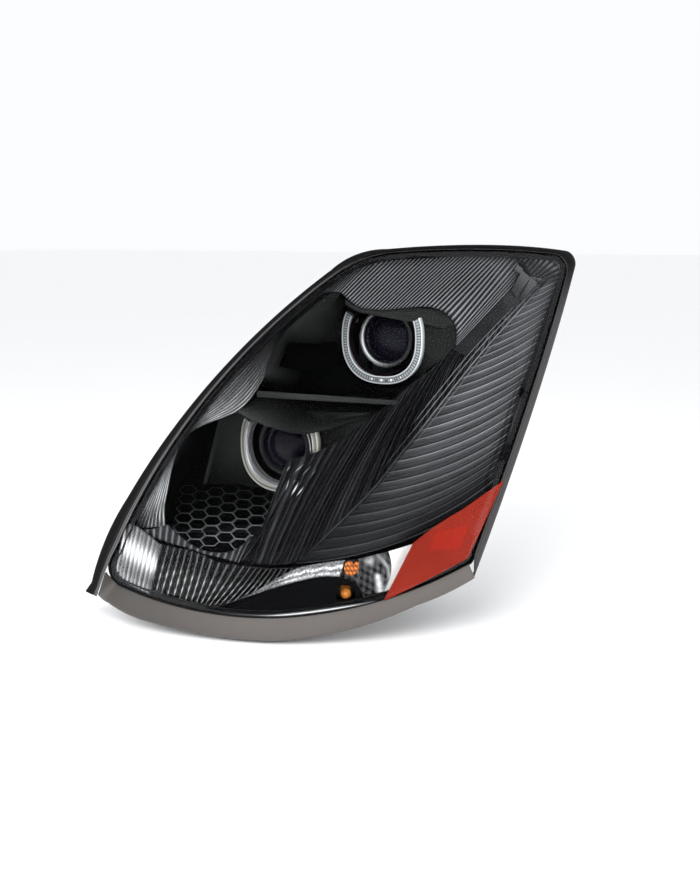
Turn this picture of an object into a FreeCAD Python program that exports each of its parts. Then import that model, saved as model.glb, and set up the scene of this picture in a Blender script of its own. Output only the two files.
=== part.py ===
import FreeCAD, Part
import Sketcher
import math
import os

# Truck headlight, driver's side: a wrap-round clear lens over two projector units, a turn signal
# band and a side marker. Millimetres. +Z is up, -Y is the way the beam points, +X is outboard.
# The face frame (u, v, w) is the one the lens is drawn in: w points out of the lens, between
# straight ahead and outboard and a little up. The origin is the middle of the four mounting studs.

SIZES = {
    "face_turn": "31",
    "face_tilt": "11",
    "dome_along": "560",
    "dome_around": "620",
    "dome_middle_u": "-20",
    "dome_middle_v": "-40",
    "lens_wall": "3",
    "lens_leg": "16",
    "wall_thick": "2.5",
    "side_depth": "212",
    "body_depth": "265",
    "channel_gap": "6.2",
    "bezel_back": "20",
    "bezel_thick": "2.5",
    "stud_circle": "150",
    "stud_radius": "3",
    "stud_reach": "18",
    "stud_middle_u": "37",
    "stud_middle_v": "45",
    "low_x": "4.7",
    "low_z": "128",
    "low_ring_y": "128",
    "high_x": "-90.4",
    "high_z": "-14.1",
    "high_ring_y": "13.8",
    "lens_behind_ring": "4",
    "optic_radius": "35",
    "optic_bulge": "13",
    "optic_edge": "16",
    "retainer_radius": "40",
    "holder_length": "64",
    "holder_flange": "50",
    "bowl_radius": "40",
    "bowl_length": "64",
    "bulb_hole": "11.2",
    "ring_outer": "63",
    "ring_inner": "52",
    "ring_depth": "8",
    "board_thick": "1.6",
    "frame_plate": "4",
    "hang_y": "205",
    "hang_x": "-50",
    "hang_z": "57",
    "adjust_drop": "150",
    "adjust_side": "140",
    "ball_radius": "6",
    "rod_radius": "4",
    "knob_radius": "11",
    "knob_length": "16",
    "collar_radius": "47",
    "low_collar_y": "394",
    "high_collar_y": "304",
    "signal_u": "21",
    "signal_v": "-199",
    "marker_u": "151",
    "marker_v": "-149",
    "signal_wall": "112",
    "socket_radius": "15",
    "inlet_width": "32",
    "inlet_height": "16",
    "inlet_depth": "14",
}

doc = FreeCAD.newDocument("Headlight")
sheet = doc.addObject("Spreadsheet::Sheet", "Sizes")
for row, (alias, value) in enumerate(SIZES.items(), 1):
    sheet.set("A%d" % row, alias)
    sheet.set("B%d" % row, value)
    sheet.setAlias("B%d" % row, alias)
doc.recompute()

parts = []


class Size(float):
    """A length that remembers which sheet cells it comes from."""

    def __new__(cls, value, formula):
        made = super().__new__(cls, value)
        made.formula = formula
        return made

    def joined(self, other, sign, value, swap=False):
        left, right = (other, self) if swap else (self, other)
        return Size(value, "(%s %s %s)" % (formula_of(left), sign, formula_of(right)))

    def __add__(self, other):
        return self.joined(other, "+", float(self) + float(other))

    def __radd__(self, other):
        return self.joined(other, "+", float(other) + float(self), True)

    def __sub__(self, other):
        return self.joined(other, "-", float(self) - float(other))

    def __rsub__(self, other):
        return self.joined(other, "-", float(other) - float(self), True)

    def __mul__(self, other):
        return self.joined(other, "*", float(self) * float(other))

    def __rmul__(self, other):
        return self.joined(other, "*", float(other) * float(self), True)

    def __truediv__(self, other):
        return self.joined(other, "/", float(self) / float(other))

    def __neg__(self):
        return Size(-float(self), "(-%s)" % self.formula)


def formula_of(value):
    """The sheet formula of a size, or the plain number."""
    return value.formula if isinstance(value, Size) else repr(float(value))


def size(alias):
    """One driving dimension from the sheet."""
    return Size(float(SIZES[alias]), "Sizes." + alias)


def bind(thing, name, value):
    """Set a property or constraint, and tie it to the sheet when the value comes from there."""
    if isinstance(value, Size):
        thing.setExpression(name, value.formula)
    elif not name.startswith("Constraints"):
        setattr(thing, name, float(value))


FACE_TURN = FreeCAD.Rotation(FreeCAD.Vector(0, 0, 1), float(SIZES["face_turn"])).multiply(
    FreeCAD.Rotation(FreeCAD.Vector(1, 0, 0), 90 - float(SIZES["face_tilt"])))
ORIGIN = FACE_TURN.multVec(FreeCAD.Vector(size("stud_middle_u"), size("stud_middle_v"),
                                          -size("body_depth")))
FACE = FreeCAD.Placement(-ORIGIN, FACE_TURN)


def spot(x, y, z):
    """A place given in vehicle directions from the middle of the lens face."""
    return FreeCAD.Vector(x, y, z) - ORIGIN


def named(thing, label, placement=None):
    """Make an object one of the sub-parts."""
    thing.Label = label
    if placement is not None:
        thing.Placement = placement
    parts.append(thing)
    return thing


# Outlines in the face frame: ends and the points between them in turn, all the way round
# clockwise. A middle point of None makes a straight side.

LENS_EDGE = [
    (-297, -148), (-146, 84), (9, 229), (42, 248), (81, 259.5), (200, 271.5), (322, 279),
    (345, 273), (349, 254), None, (192.5, -153), (190, -158), (185, -160.5), (61, -207),
    (-67, -228), (-178, -222), (-285, -195.5), (-303, -181)]

WINDOW = [
    (9, 206), (40, 184), (90, 183.5), (133, 188), (157, 181), (171, 167), (170, 138),
    (70, 49), (-59, -19), (-50, -40), (-57, -68), (-88, -110), (-143, -144), (-205, -124),
    (-223, -75), (-196, 12), (-98, 41), (-87, 115), (-22, 191), (-8, 204)]

BAND = [
    (-345, -100), None, (-292, -108), (-284, -117), (-270, -123), (-170, -144), (-60, -161),
    (27, -147), (110, -129), (170, -91), (237, -48), None, (300, -20), None, (300, -300),
    None, (-345, -300), None]

REFLEX = [
    (110, -130), (140, -108), (175, -88), None, (237, -48), None, (186, -152), (127, -181),
    (71, -206), None]

TRIM_LOW = [
    (-323, -208), None, (-305, -178), None, (-250, -150), None, (150, -130), None,
    (199, -150), None, (197, -181), (116, -215), (25, -246), (-80, -262), (-192, -253),
    (-250, -243), (-300, -227), (-311, -221)]

GASKET_OUT = [
    (-336, -193), (-307, -121), (-277, -72), (-160, 83), (1, 234), (34, 256), (78, 265.5),
    (200, 279), (352.3, 289.3), (365.5, 282.4), (367.2, 267.7), None, (196, -178), None, (150, -120),
    None, (-270, -150), None, (-327, -213), None, (-347, -207), None]


def circle_centre(start, via, end):
    """Centre of the arc through three points."""
    ax, ay = start
    bx, by = via
    cx, cy = end
    twice = 2 * (ax * (by - cy) + bx * (cy - ay) + cx * (ay - by))
    a2, b2, c2 = ax * ax + ay * ay, bx * bx + by * by, cx * cx + cy * cy
    return ((a2 * (by - cy) + b2 * (cy - ay) + c2 * (ay - by)) / twice,
            (a2 * (cx - bx) + b2 * (ax - cx) + c2 * (bx - ax)) / twice)


def outward(start, via, end, point):
    """Unit normal of one side at a point, to the left of its direction."""
    along = (end[0] - start[0], end[1] - start[1])
    if via is None:
        length = math.hypot(*along)
        return (-along[1] / length, along[0] / length)
    centre = circle_centre(start, via, end)
    bow = (via[0] - centre[0], via[1] - centre[1])
    side = 1 if along[0] * bow[1] - along[1] * bow[0] > 0 else -1
    reach = (point[0] - centre[0], point[1] - centre[1])
    length = math.hypot(*reach)
    return (side * reach[0] / length, side * reach[1] / length)


def grown(outline, amount):
    """The same outline moved outward by an amount, or inward when it is negative."""
    count = len(outline)
    sides = [(outline[i], outline[i + 1], outline[(i + 2) % count]) for i in range(0, count, 2)]
    moved = []
    for index, (start, via, end) in enumerate(sides):
        before = sides[index - 1]
        one = outward(*before, start)
        two = outward(start, via, end, start)
        share = float(amount) / (1 + one[0] * two[0] + one[1] * two[1])
        moved.append((start[0] + share * (one[0] + two[0]), start[1] + share * (one[1] + two[1])))
        if via is None:
            moved.append(None)
        else:
            normal = outward(start, via, end, via)
            moved.append((via[0] + normal[0] * float(amount), via[1] + normal[1] * float(amount)))
    return moved


def drawn(name, outline):
    """A closed sketch of an outline in the face frame's u-v plane."""
    sketch = doc.addObject("Sketcher::SketchObject", name)
    add_loop(sketch, outline)
    return sketch


def add_loop(sketch, outline):
    """Add the sides of a closed outline to a sketch, joined end to end."""
    count = len(outline)
    first = sketch.GeometryCount
    starts = []
    for i in range(0, count, 2):
        start = FreeCAD.Vector(*outline[i], 0)
        end = FreeCAD.Vector(*outline[(i + 2) % count], 0)
        if outline[i + 1] is None:
            side = Part.LineSegment(start, end)
        else:
            side = Part.Arc(start, FreeCAD.Vector(*outline[i + 1], 0), end)
        number = sketch.addGeometry(side, False)
        starts.append(1 if (sketch.getPoint(number, 1) - start).Length < 1e-4 else 2)
    sides = count // 2
    for k in range(sides):
        last = (k - 1) % sides
        sketch.addConstraint(Sketcher.Constraint(
            "Coincident", first + k, starts[k], first + last, 3 - starts[last]))


def prism(name, outline, top=40, bottom=300):
    """An outline carried through along w."""
    solid = doc.addObject("Part::Extrusion", name)
    solid.Base = drawn(name + "_outline", outline)
    solid.DirMode = "Custom"
    solid.Dir = FreeCAD.Vector(0, 0, 1)
    bind(solid, "LengthFwd", top)
    bind(solid, "LengthRev", bottom)
    solid.Solid = True
    return solid


def dome(name, back):
    """The solid under the lens's curved face, set back along w."""
    solid = doc.addObject("Part::Torus", name)
    bind(solid, "Radius1", size("dome_around"))
    bind(solid, "Radius2", size("dome_along"))
    solid.Placement = FreeCAD.Placement(
        FreeCAD.Vector(size("dome_middle_u"), size("dome_middle_v"),
                       -(size("dome_around") + size("dome_along")) - back),
        FreeCAD.Rotation(FreeCAD.Vector(0, 1, 0), 90))
    return solid


def common(name, one, two):
    """What two solids share."""
    made = doc.addObject("Part::Common", name)
    made.Base = one
    made.Tool = two
    return made


def cut(name, one, two):
    """One solid less another."""
    made = doc.addObject("Part::Cut", name)
    made.Base = one
    made.Tool = two
    return made


def fused(name, *pieces):
    """Solids made into one."""
    made = doc.addObject("Part::MultiFuse", name)
    made.Shapes = list(pieces)
    return made


def layer(name, outline, front, back):
    """A shell that follows the dome between two setbacks, inside an outline."""
    inside = common(name + "_front", prism(name + "_block", outline), dome(name + "_dome", front))
    return cut(name, inside, dome(name + "_behind", back))


def box(name, width, depth, height, corner):
    """A block with its low corner at a given point."""
    solid = doc.addObject("Part::Box", name)
    bind(solid, "Length", width)
    bind(solid, "Width", depth)
    bind(solid, "Height", height)
    solid.Placement = FreeCAD.Placement(FreeCAD.Vector(*corner), FreeCAD.Rotation())
    return solid


def rod(name, radius, length, start, way="w"):
    """A round bar along w in the face frame, or along Y in vehicle directions."""
    solid = doc.addObject("Part::Cylinder", name)
    bind(solid, "Radius", radius)
    bind(solid, "Height", length)
    turn = FreeCAD.Rotation() if way == "w" else FreeCAD.Rotation(FreeCAD.Vector(1, 0, 0), -90)
    solid.Placement = FreeCAD.Placement(FreeCAD.Vector(*start), turn)
    return solid


def in_vehicle(solid):
    """Turn a solid drawn in vehicle directions into the face frame."""
    solid.Placement = FreeCAD.Placement(FreeCAD.Vector(), FACE_TURN).inverse().multiply(
        solid.Placement)
    return solid


def plane_of(body, role):
    """One of a body's own origin planes or axes."""
    return [f for f in body.Origin.OriginFeatures if f.Role == role][0]


def fix_point(sketch, number, end, point):
    """Hold one sketch point at its distances from the origin."""
    for axis, kind, value in ((-2, "DistanceX", point[0]), (-1, "DistanceY", point[1])):
        if abs(float(value)) < 1e-9:
            sketch.addConstraint(Sketcher.Constraint("PointOnObject", number, end, axis))
            continue
        index = sketch.addConstraint(Sketcher.Constraint(kind, -1, 1, number, end, float(value)))
        bind(sketch, "Constraints[%d]" % index, value)


def profile(body, role, points):
    """A sketch on one of the body's planes. A point may be followed by ("arc", x, y)."""
    sketch = body.newObject("Sketcher::SketchObject", body.Name + "_Profile%d" % len(body.Group))
    sketch.AttachmentSupport = [(plane_of(body, role), "")]
    sketch.MapMode = "FlatFace"
    add_profile(sketch, points)
    return sketch


def add_profile(sketch, points):
    """Add one closed profile and hold every corner of it."""
    corners = [p for p in points if p[0] != "arc"]
    vias = {}
    for i, point in enumerate(points):
        if point[0] == "arc":
            vias[sum(1 for p in points[:i] if p[0] != "arc") - 1] = point[1:]
    count = len(corners)
    ends = []
    for i in range(count):
        start = FreeCAD.Vector(*[float(c) for c in corners[i]], 0)
        end = FreeCAD.Vector(*[float(c) for c in corners[(i + 1) % count]], 0)
        if i in vias:
            side = Part.Arc(start, FreeCAD.Vector(*[float(c) for c in vias[i]], 0), end)
        else:
            side = Part.LineSegment(start, end)
        number = sketch.addGeometry(side, False)
        low = 1 if (sketch.getPoint(number, 1) - start).Length < 1e-4 else 2
        ends.append((number, low))
    for i, (number, low) in enumerate(ends):
        last, last_low = ends[i - 1]
        sketch.addConstraint(Sketcher.Constraint("Coincident", number, low, last, 3 - last_low))
        fix_point(sketch, number, low, corners[i])
    for i in vias:
        radius = sketch.Geometry[ends[i][0]].Radius
        sketch.addConstraint(Sketcher.Constraint("Radius", ends[i][0], radius))


def turned(label, points, where):
    """A round piece about the vehicle's Y axis. Points are radius and distance along Y."""
    body = doc.addObject("PartDesign::Body", "Body")
    sketch = profile(body, "XY_Plane", points)
    spin = body.newObject("PartDesign::Revolution", body.Name + "_Turn")
    spin.Profile = sketch
    spin.ReferenceAxis = (sketch, ["V_Axis"])
    spin.Angle = 360
    placement = where if isinstance(where, FreeCAD.Placement) else FreeCAD.Placement(
        where, FreeCAD.Rotation())
    return named(body, label, placement)


def plate(label, loops, thick, where):
    """A flat piece in the vehicle's X-Z plane, its front face at the given place."""
    body = doc.addObject("PartDesign::Body", "Body")
    sketch = profile(body, "XZ_Plane", loops[0])
    for loop in loops[1:]:
        add_profile(sketch, loop)
    pad = body.newObject("PartDesign::Pad", body.Name + "_Pad")
    pad.Profile = sketch
    bind(pad, "Length", thick)
    pad.Reversed = True
    return named(body, label, FreeCAD.Placement(where, FreeCAD.Rotation()))


def scaled(outline, factor, middle):
    """An outline shrunk towards a middle point."""
    return [None if p is None else (middle[0] + factor * (p[0] - middle[0]),
                                    middle[1] + factor * (p[1] - middle[1])) for p in outline]


def body_block(name, margin, side, depth):
    """The housing's outer or inner volume: straight sides, then a tapered back."""
    edge = grown(LENS_EDGE, margin)
    straight = prism(name + "_side", edge, 40, side)
    ends = []
    for number, (outline, w) in enumerate(((edge, -side), (scaled(edge, 0.9, (40, 20)), -depth))):
        sketch = drawn("%s_end%d" % (name, number), outline)
        sketch.Placement = FreeCAD.Placement(FreeCAD.Vector(0, 0, w), FreeCAD.Rotation())
        ends.append(sketch)
    back = doc.addObject("Part::Loft", name + "_back")
    back.Sections = ends
    back.Solid = True
    back.Ruled = True
    return fused(name + "_whole", straight, back)


def collar(name, x, z, end, radius, reach):
    """A round bar along Y that ends at a given distance."""
    return in_vehicle(rod(name, radius, reach, (x, float(end) - float(reach), z), "Y"))


def housing():
    wall = size("wall_thick")
    step = -125
    depth = size("signal_wall")
    outer = cut("OuterStep", body_block("Outer", 0.3 + wall, size("side_depth"), size("body_depth")),
                box("OuterNotch", 900, 300, 400, (-450, step - 300, -depth - 400)))
    inner = cut("InnerStep", body_block("Inner", 0.3, size("side_depth") - wall / 2,
                                        size("body_depth") - wall),
                box("InnerNotch", 900, 300, 400, (-450, step - 300 + wall, -depth - 400 + wall)))
    shell = common("Shell", cut("ShellWall", outer, inner), dome("RimDome", 10))
    edge = LENS_EDGE
    floor = cut("FloorRing", layer("Floor", grown(edge, 1.5), 18, 20.5),
                prism("FloorHole", grown(edge, -8.2)))
    lip = cut("LipRing", layer("Lip", grown(edge, -6.2), 13, 19),
              prism("LipHole", grown(edge, -8.2)))
    bosses = [
        collar("LowCollar", size("low_x"), size("low_z"), size("low_collar_y"),
               size("collar_radius"), 80),
        collar("HighCollar", size("high_x"), size("high_z"), size("high_collar_y"),
               size("collar_radius"), 80),
        collar("PivotBoss", size("hang_x"), size("hang_z"), 306, 10, 46),
        collar("HeightBoss", size("hang_x"), size("hang_z") - size("adjust_drop"), 275, 14, 24),
        collar("SideBoss", size("hang_x") + size("adjust_side"), size("hang_z"), 394, 14, 50),
        collar("VentBoss", -178, 48, 226, 8, 15),
        in_vehicle(box("InletBoss", 46, 30, 30, (-204.5, 175, -105))),
    ]
    back_of = box("BehindWall", 900, 900, 300, (-450, -450, -size("body_depth") - 300 + 1))
    outside = [common("%s_out" % b.Name, b, back_of) for b in bosses[:2] + bosses[5:]]
    vent = collar("VentSpigot", -178, 48, 236, 4, 12)
    whole = fused("HousingWhole", shell, floor, lip, *outside, *bosses[2:5], vent)
    holes = [
        collar("LowBore", size("low_x"), size("low_z"), 400, size("collar_radius") - 4, 100),
        collar("HighBore", size("high_x"), size("high_z"), 310, size("collar_radius") - 4, 100),
        collar("PivotBore", size("hang_x"), size("hang_z"), 320, 5.1, 80),
        collar("HeightBore", size("hang_x"), size("hang_z") - size("adjust_drop"), 290, 4.4, 60),
        collar("SideBore", size("hang_x") + size("adjust_side"), size("hang_z"), 400, 4.4, 80),
        collar("VentBore", -178, 48, 240, 2.4, 40),
        in_vehicle(box("InletBore", 36.4, 60, 20.4, (-199.7, 160, -100.2))),
        rod("SignalBore", size("socket_radius") + 0.2, 20,
            (size("signal_u"), size("signal_v"), -depth - 5)),
        rod("MarkerBore", size("socket_radius") + 0.2, 20,
            (size("marker_u"), size("marker_v"), -depth - 5)),
    ]
    for number, (u, v) in enumerate(stud_places()):
        holes.append(rod("StudBore%d" % number, size("stud_radius") + 0.5, 20,
                         (u, v, -size("body_depth") - 5)))
    done = cut("Housing", whole, fused("HousingHoles", *holes))
    named(done, "housing", FACE)


def stud_places():
    """The four studs, on a circle about the middle of the back."""
    u, v = size("stud_middle_u"), size("stud_middle_v")
    ring = size("stud_circle")
    return [(u + ring, v), (u, v + ring), (u - ring, v), (u, v - ring)]


def lens_cover():
    wall = size("lens_wall")
    outside = layer("LensBody", LENS_EDGE, 0, size("lens_leg"))
    hollow = common("LensHollow", prism("LensCore", grown(LENS_EDGE, -wall)),
                    dome("LensInside", wall))
    named(cut("LensCover", outside, hollow), "lens_cover", FACE)


def lens_seal():
    ring = layer("SealBody", grown(LENS_EDGE, 0.1), 16.1, 17.9)
    named(cut("LensSeal", ring, prism("SealHole", grown(LENS_EDGE, -6.0))), "lens_seal", FACE)


def edge_gasket():
    lip = cut("GasketLipRing", layer("GasketLip", GASKET_OUT, 6, 9.9),
              prism("GasketLipHole", grown(LENS_EDGE, 0.5)))
    skirt = cut("GasketSkirtRing", layer("GasketSkirt", GASKET_OUT, 9.5, 30),
                prism("GasketSkirtHole", grown(LENS_EDGE, 2.9)))
    named(fused("EdgeGasket", lip, skirt), "edge_gasket", FACE)


def lower_trim():
    face = cut("TrimFaceRing", layer("TrimFace", TRIM_LOW, 6.5, 9.8),
               prism("TrimFaceHole", grown(LENS_EDGE, 1.0)))
    skirt = cut("TrimSkirtRing", layer("TrimSkirt", TRIM_LOW, 9.5, 30),
                prism("TrimSkirtHole", grown(TRIM_LOW, -3)))
    keep_off = prism("TrimKeepOff", grown(GASKET_OUT, 0.4))
    lens_side = prism("TrimLensSide", grown(LENS_EDGE, 3.0))
    whole = fused("TrimWhole", face, cut("TrimSkirtClear", skirt, lens_side))
    named(cut("LowerTrim", whole, keep_off), "lower_trim", FACE)


def fluted_bezel():
    inside = grown(LENS_EDGE, -9)
    back = size("bezel_back")
    plate_part = layer("BezelPlate", inside, back, back + size("bezel_thick"))
    opening = prism("BezelOpening", WINDOW)
    lower = prism("BezelBelow", BAND)
    plate_cut = cut("BezelPlateCut", plate_part, fused("BezelHoles", opening, lower))
    skirt = cut("BezelSkirtRing", layer("BezelSkirt", grown(WINDOW, 2.2), back + 2, 45),
                prism("BezelSkirtHole", WINDOW))
    clear = [collar(beam + "Room", size(beam + "_x"), size(beam + "_z"),
                    size(beam + "_ring_y") + 40, 69, 45) for beam in ("low", "high")]
    skirt = cut("BezelSkirtClear", skirt, fused("BezelRoom", *clear))
    named(fused("FlutedBezel", plate_cut, skirt), "fluted_bezel", FACE)


RIDGE = [(-150, 84), None, (120, 65.5), None, (120, 58.5), None, (-150, 77), None]

ABOVE_RIDGE = [(-150, 84.5), None, (-150, 260), None, (250, 260), None, (250, 56.6), None]

BELOW_RIDGE = [(-147, 76), None, (250, 49.2), None, (250, -100), None, (-186, -100), None]


def shaped_plate(name, y, thick, region, x, z, radius, back):
    """A flat bezel plate across the beam, trimmed to the window, with a round opening."""
    slab = in_vehicle(box(name + "_slab", 500, thick, 500, (-250, y, -250)))
    trimmed = common(name + "_window", slab, prism(name + "_edge", grown(WINDOW, -1)))
    kept = common(name + "_region", trimmed, prism(name + "_part", region))
    under = common(name + "_under", kept, dome(name + "_dome", back))
    return cut(name, under, collar(name + "_hole", x, z, float(y) + 30, radius, 60))


def inner_bezels():
    upper = shaped_plate("UpperBezel", 138.2, 2.5, ABOVE_RIDGE, size("low_x"), size("low_z"), 50,
                         26)
    named(upper, "upper_bezel", FACE)
    lower = shaped_plate("LowerBezel", 24.0, 2.5, BELOW_RIDGE, size("high_x"), size("high_z"), 50,
                         30)
    named(lower, "lower_bezel", FACE)


def centre_shelf():
    strip = common("ShelfWindow", layer("Shelf", RIDGE, 24, 60),
                   prism("ShelfEdge", grown(WINDOW, -1)))
    named(strip, "centre_shelf", FACE)


UPPER_VISOR = [(-40, 150), None, (10, 192), None, (40, 174), (78, 172), (124, 170), None,
               (165, 170), None, (165, 215), None, (-40, 215), None]

LOWER_VISOR = [(-130, 39), None, (-92, 28), (-55, 11), (10, 24), None, (60, 40), None,
               (60, 61.5), None, (-130, 74), None]


def visors():
    for label, outline, front in (("upper_visor", UPPER_VISOR, 7.5), ("lower_visor", LOWER_VISOR, 17)):
        sheet_part = layer(label + "_sheet", outline, front, front + 2.5)
        rim = cut(label + "_rim", layer(label + "_rim_body", outline, front, 24),
                  prism(label + "_rim_hole", grown(WINDOW, -3.5)))
        trimmed = common(label + "_cut", fused(label + "_whole", sheet_part, rim),
                         prism(label + "_edge", grown(WINDOW, -1)))
        named(trimmed, label, FACE)



PANEL = [(-153, 58), None, (-148.5, 58), None, (-177, -58), None, (-181.5, -58), None]

SIGNAL = [
    (-345, -108), None, (-292, -110), (-284, -119), (-270, -125), (-170, -146), (-60, -163),
    (0, -155), (58, -143), None, (58, -300), None, (-345, -300), None]

SHROUD = [(-172, -226), (-115, -203), (-54, -184), (-24, -177), (6, -176), None, (6, -235), None]

MARKER = [
    (61, -142), None, (110, -131), (140, -113), (172, -93), None, (240, -50), None,
    (250, -240), None, (61, -240), None]

INSERT = [(128, -141), None, (141, -115), None, (186, -107), None, (176, -139), None]


def side_panel():
    named(common("SidePanelCut", layer("SidePanel", PANEL, 30, 95),
                 prism("SidePanelEdge", grown(WINDOW, -1))), "side_panel", FACE)


def inside_edge(name, sheet_part, margin):
    """A dome layer trimmed to the lens edge."""
    return common(name, sheet_part, prism(name + "Edge", grown(LENS_EDGE, -margin)))


def signal_reflectors():
    u, v = size("signal_u"), size("signal_v")
    sheet_part = inside_edge("SignalSheet", layer("SignalLayer", SIGNAL, 24, 26.5), 8.6)
    hole = rod("SignalHole", 8.5, 120, (u, v, -130))
    beside = prism("SignalBeside", grown(WINDOW, 2.8))
    named(cut("SignalReflector", sheet_part, fused("SignalHoles", hole, beside)),
          "turn_reflector", FACE)
    u, v = size("marker_u"), size("marker_v")
    sheet_part = inside_edge("MarkerSheet", layer("MarkerLayer", MARKER, 24, 26.5), 8.6)
    hole = rod("MarkerHole", 9, 120, (u, v, -130))
    named(cut("MarkerReflector", sheet_part, hole), "marker_reflector", FACE)
    named(inside_edge("Shroud", layer("ShroudLayer", SHROUD, 14, 17), 9.2), "signal_shroud", FACE)


def side_reflex():
    named(inside_edge("Reflex", layer("ReflexLayer", REFLEX, 6, 9), 3.6), "side_reflex", FACE)
    named(inside_edge("Insert", layer("InsertLayer", INSERT, 9.4, 11.4), 10), "reflex_insert", FACE)


def grille():
    """A sloping honeycomb floor: a slab with six-sided holes in rows."""
    slope = 34
    cell = 7.6
    pitch = 15.2
    slab = box("GrilleSlab", 240, 86, 2.5, (0, 0, 0))
    holes = []
    for row in range(-1, 13):
        for column in range(-1, 18):
            x = column * pitch * 1.5 / 1.732 * 1.0
            y = row * pitch + (pitch / 2 if column % 2 else 0)
            corners = [FreeCAD.Vector(x + cell * math.cos(math.radians(60 * k)),
                                      y + cell * math.sin(math.radians(60 * k)), -1)
                       for k in range(7)]
            holes.append(Part.Face(Part.makePolygon(corners)).extrude(FreeCAD.Vector(0, 0, 5)))
    cells = doc.addObject("Part::Feature", "GrilleCells")
    cells.Shape = Part.makeCompound(holes)
    sheet_part = cut("GrilleSheet", slab, cells)
    tilt = FreeCAD.Placement(FreeCAD.Vector(-255, -52, -146),
                             FreeCAD.Rotation(FreeCAD.Vector(1, 0, 0), slope))
    sheet_part.Placement = tilt
    in_vehicle(sheet_part)
    trimmed = common("GrilleWindow", sheet_part, prism("GrilleEdge", grown(WINDOW, -1)))
    kept = common("GrilleUnder", trimmed, dome("GrilleDome", 24))
    named(kept, "honeycomb_grille", FACE)


def horseshoe(radius, width):
    """Half-width profile of a light ring: a squared circle, open at the top."""
    def at(angle, reach):
        c, s = math.cos(math.radians(angle)), math.sin(math.radians(angle))
        k = (abs(c) ** 2.4 + abs(s) ** 2.4) ** (-1 / 2.4)
        return (reach * k * c, reach * k * s)
    points = []
    angles = [28 - 12 * i for i in range(21)]
    for i, angle in enumerate(angles):
        point = at(angle, float(radius))
        points.append(("arc",) + point if i % 2 else point)
    for i, angle in enumerate(reversed(angles)):
        point = at(angle, float(radius) - float(width))
        points.append(("arc",) + point if i % 2 else point)
    return points


UNITS = (("low", "upper"), ("high", "lower"))


def light_rings():
    """The horseshoe light guide, its circuit board and the chrome cone inside it, twice."""
    width = size("ring_outer") - size("ring_inner")
    for beam, level in UNITS:
        x, z, y = size(beam + "_x"), size(beam + "_z"), size(beam + "_ring_y")
        plate("%s_light_ring" % level, [horseshoe(size("ring_outer"), width)],
              size("ring_depth"), spot(x, y, z))
        plate("%s_ring_board" % level, [horseshoe(size("ring_outer") - 1, width - 2)],
              size("board_thick"), spot(x, y + size("ring_depth") + 0.3, z))
        turned("%s_ring_reflector" % level, [
            (50.0, 2), (51.5, 2), (49.9, 9.5), (48.4, 9.5)], spot(x, y, z))


def projector(beam, level):
    """One lens, its retainer, holder and bowl, measured back from the front of the lens."""
    where = spot(size(beam + "_x"), size(beam + "_ring_y") + size("lens_behind_ring"),
                 size(beam + "_z"))
    radius, bulge, edge = size("optic_radius"), size("optic_bulge"), size("optic_edge")
    curve = ((radius - 1.5) * (radius - 1.5) + bulge * bulge) / (bulge * 2)
    half = (float(radius) - 1.5) / 2
    dip = float(curve) - math.sqrt(float(curve) ** 2 - half ** 2)
    turned(beam + "_beam_lens", [
        (0, 0), ("arc", half, dip), (radius - 1.5, bulge), (radius, bulge), (radius, edge),
        (0, edge)], where)
    turned(beam + "_beam_retainer", [
        (radius - 1.1, bulge - 2.1), (size("retainer_radius"), bulge - 2.1),
        (size("retainer_radius"), 22), (radius + 0.3, 22), (radius + 0.3, bulge - 0.1),
        (radius - 1.1, bulge - 0.1)], where)
    length = size("holder_length")
    holder = turned("holder", [
        (30, edge + 0.3), (radius + 0.1, edge + 0.3), (radius + 0.1, 22.3),
        (38.5, 22.3), (42, length - 6), (size("holder_flange"), length - 6),
        (size("holder_flange"), length - 0.1), (38.5, length - 0.1), (30, 24)],
        FreeCAD.Vector())
    drilled(holder, beam + "_beam_holder", 2.05, 30, 70, where)
    length = length + size("frame_plate")
    bowl = turned("bowl", [
        (37.5, length + 0.1), (size("holder_flange"), length + 0.1),
        (size("holder_flange"), length + 3), (40, length + 3),
        ("arc", 33, length + 36), (13.8, length + size("bowl_length")),
        (size("bulb_hole"), length + size("bowl_length")),
        (size("bulb_hole"), length + size("bowl_length") - 2),
        ("arc", 30.6, length + 35), (37.5, length + 3)], FreeCAD.Vector())
    drilled(bowl, beam + "_beam_reflector", 2.2, 40, 90, where)
    rear = length + size("bowl_length")
    turned(beam + "_beam_bulb", [
        (0, rear - 42), ("arc", 4.3, rear - 40.2), (6, rear - 36), (6, rear - 6),
        (10.6, rear - 6), (10.6, rear + 0.3), (16, rear + 0.3), (16, rear + 5),
        (12, rear + 5), (12, rear + 26), (0, rear + 26)], where)
    screws = []
    flange = size("holder_length")
    for x, z in screw_places():
        for name, radius, start, reach in (
                ("Shank", 1.9, flange - 5, 12.6), ("Head", 3.8, flange + 7.4, 2.6)):
            screws.append(rod("%s%s%d" % (beam, name, len(screws)), radius, reach,
                              (x, start, z), "Y"))
    named(fused(beam + "Screws", *screws), beam + "_beam_screws",
          FreeCAD.Placement(where, FreeCAD.Rotation()))


def screw_places():
    """Four screws round a projector flange."""
    reach = 45.5 / math.sqrt(2)
    return [(i * reach, k * reach) for i in (-1, 1) for k in (-1, 1)]


def drilled(body, label, radius, start, end, where):
    """A turned flange with its four screw holes."""
    parts.remove(body)
    holes = [rod("%sHole%d" % (label, i), radius, end - start, (x, start, z), "Y")
             for i, (x, z) in enumerate(screw_places())]
    named(cut(label + "_cut", body, fused(label + "_holes", *holes)), label,
          FreeCAD.Placement(where, FreeCAD.Rotation()))


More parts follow.
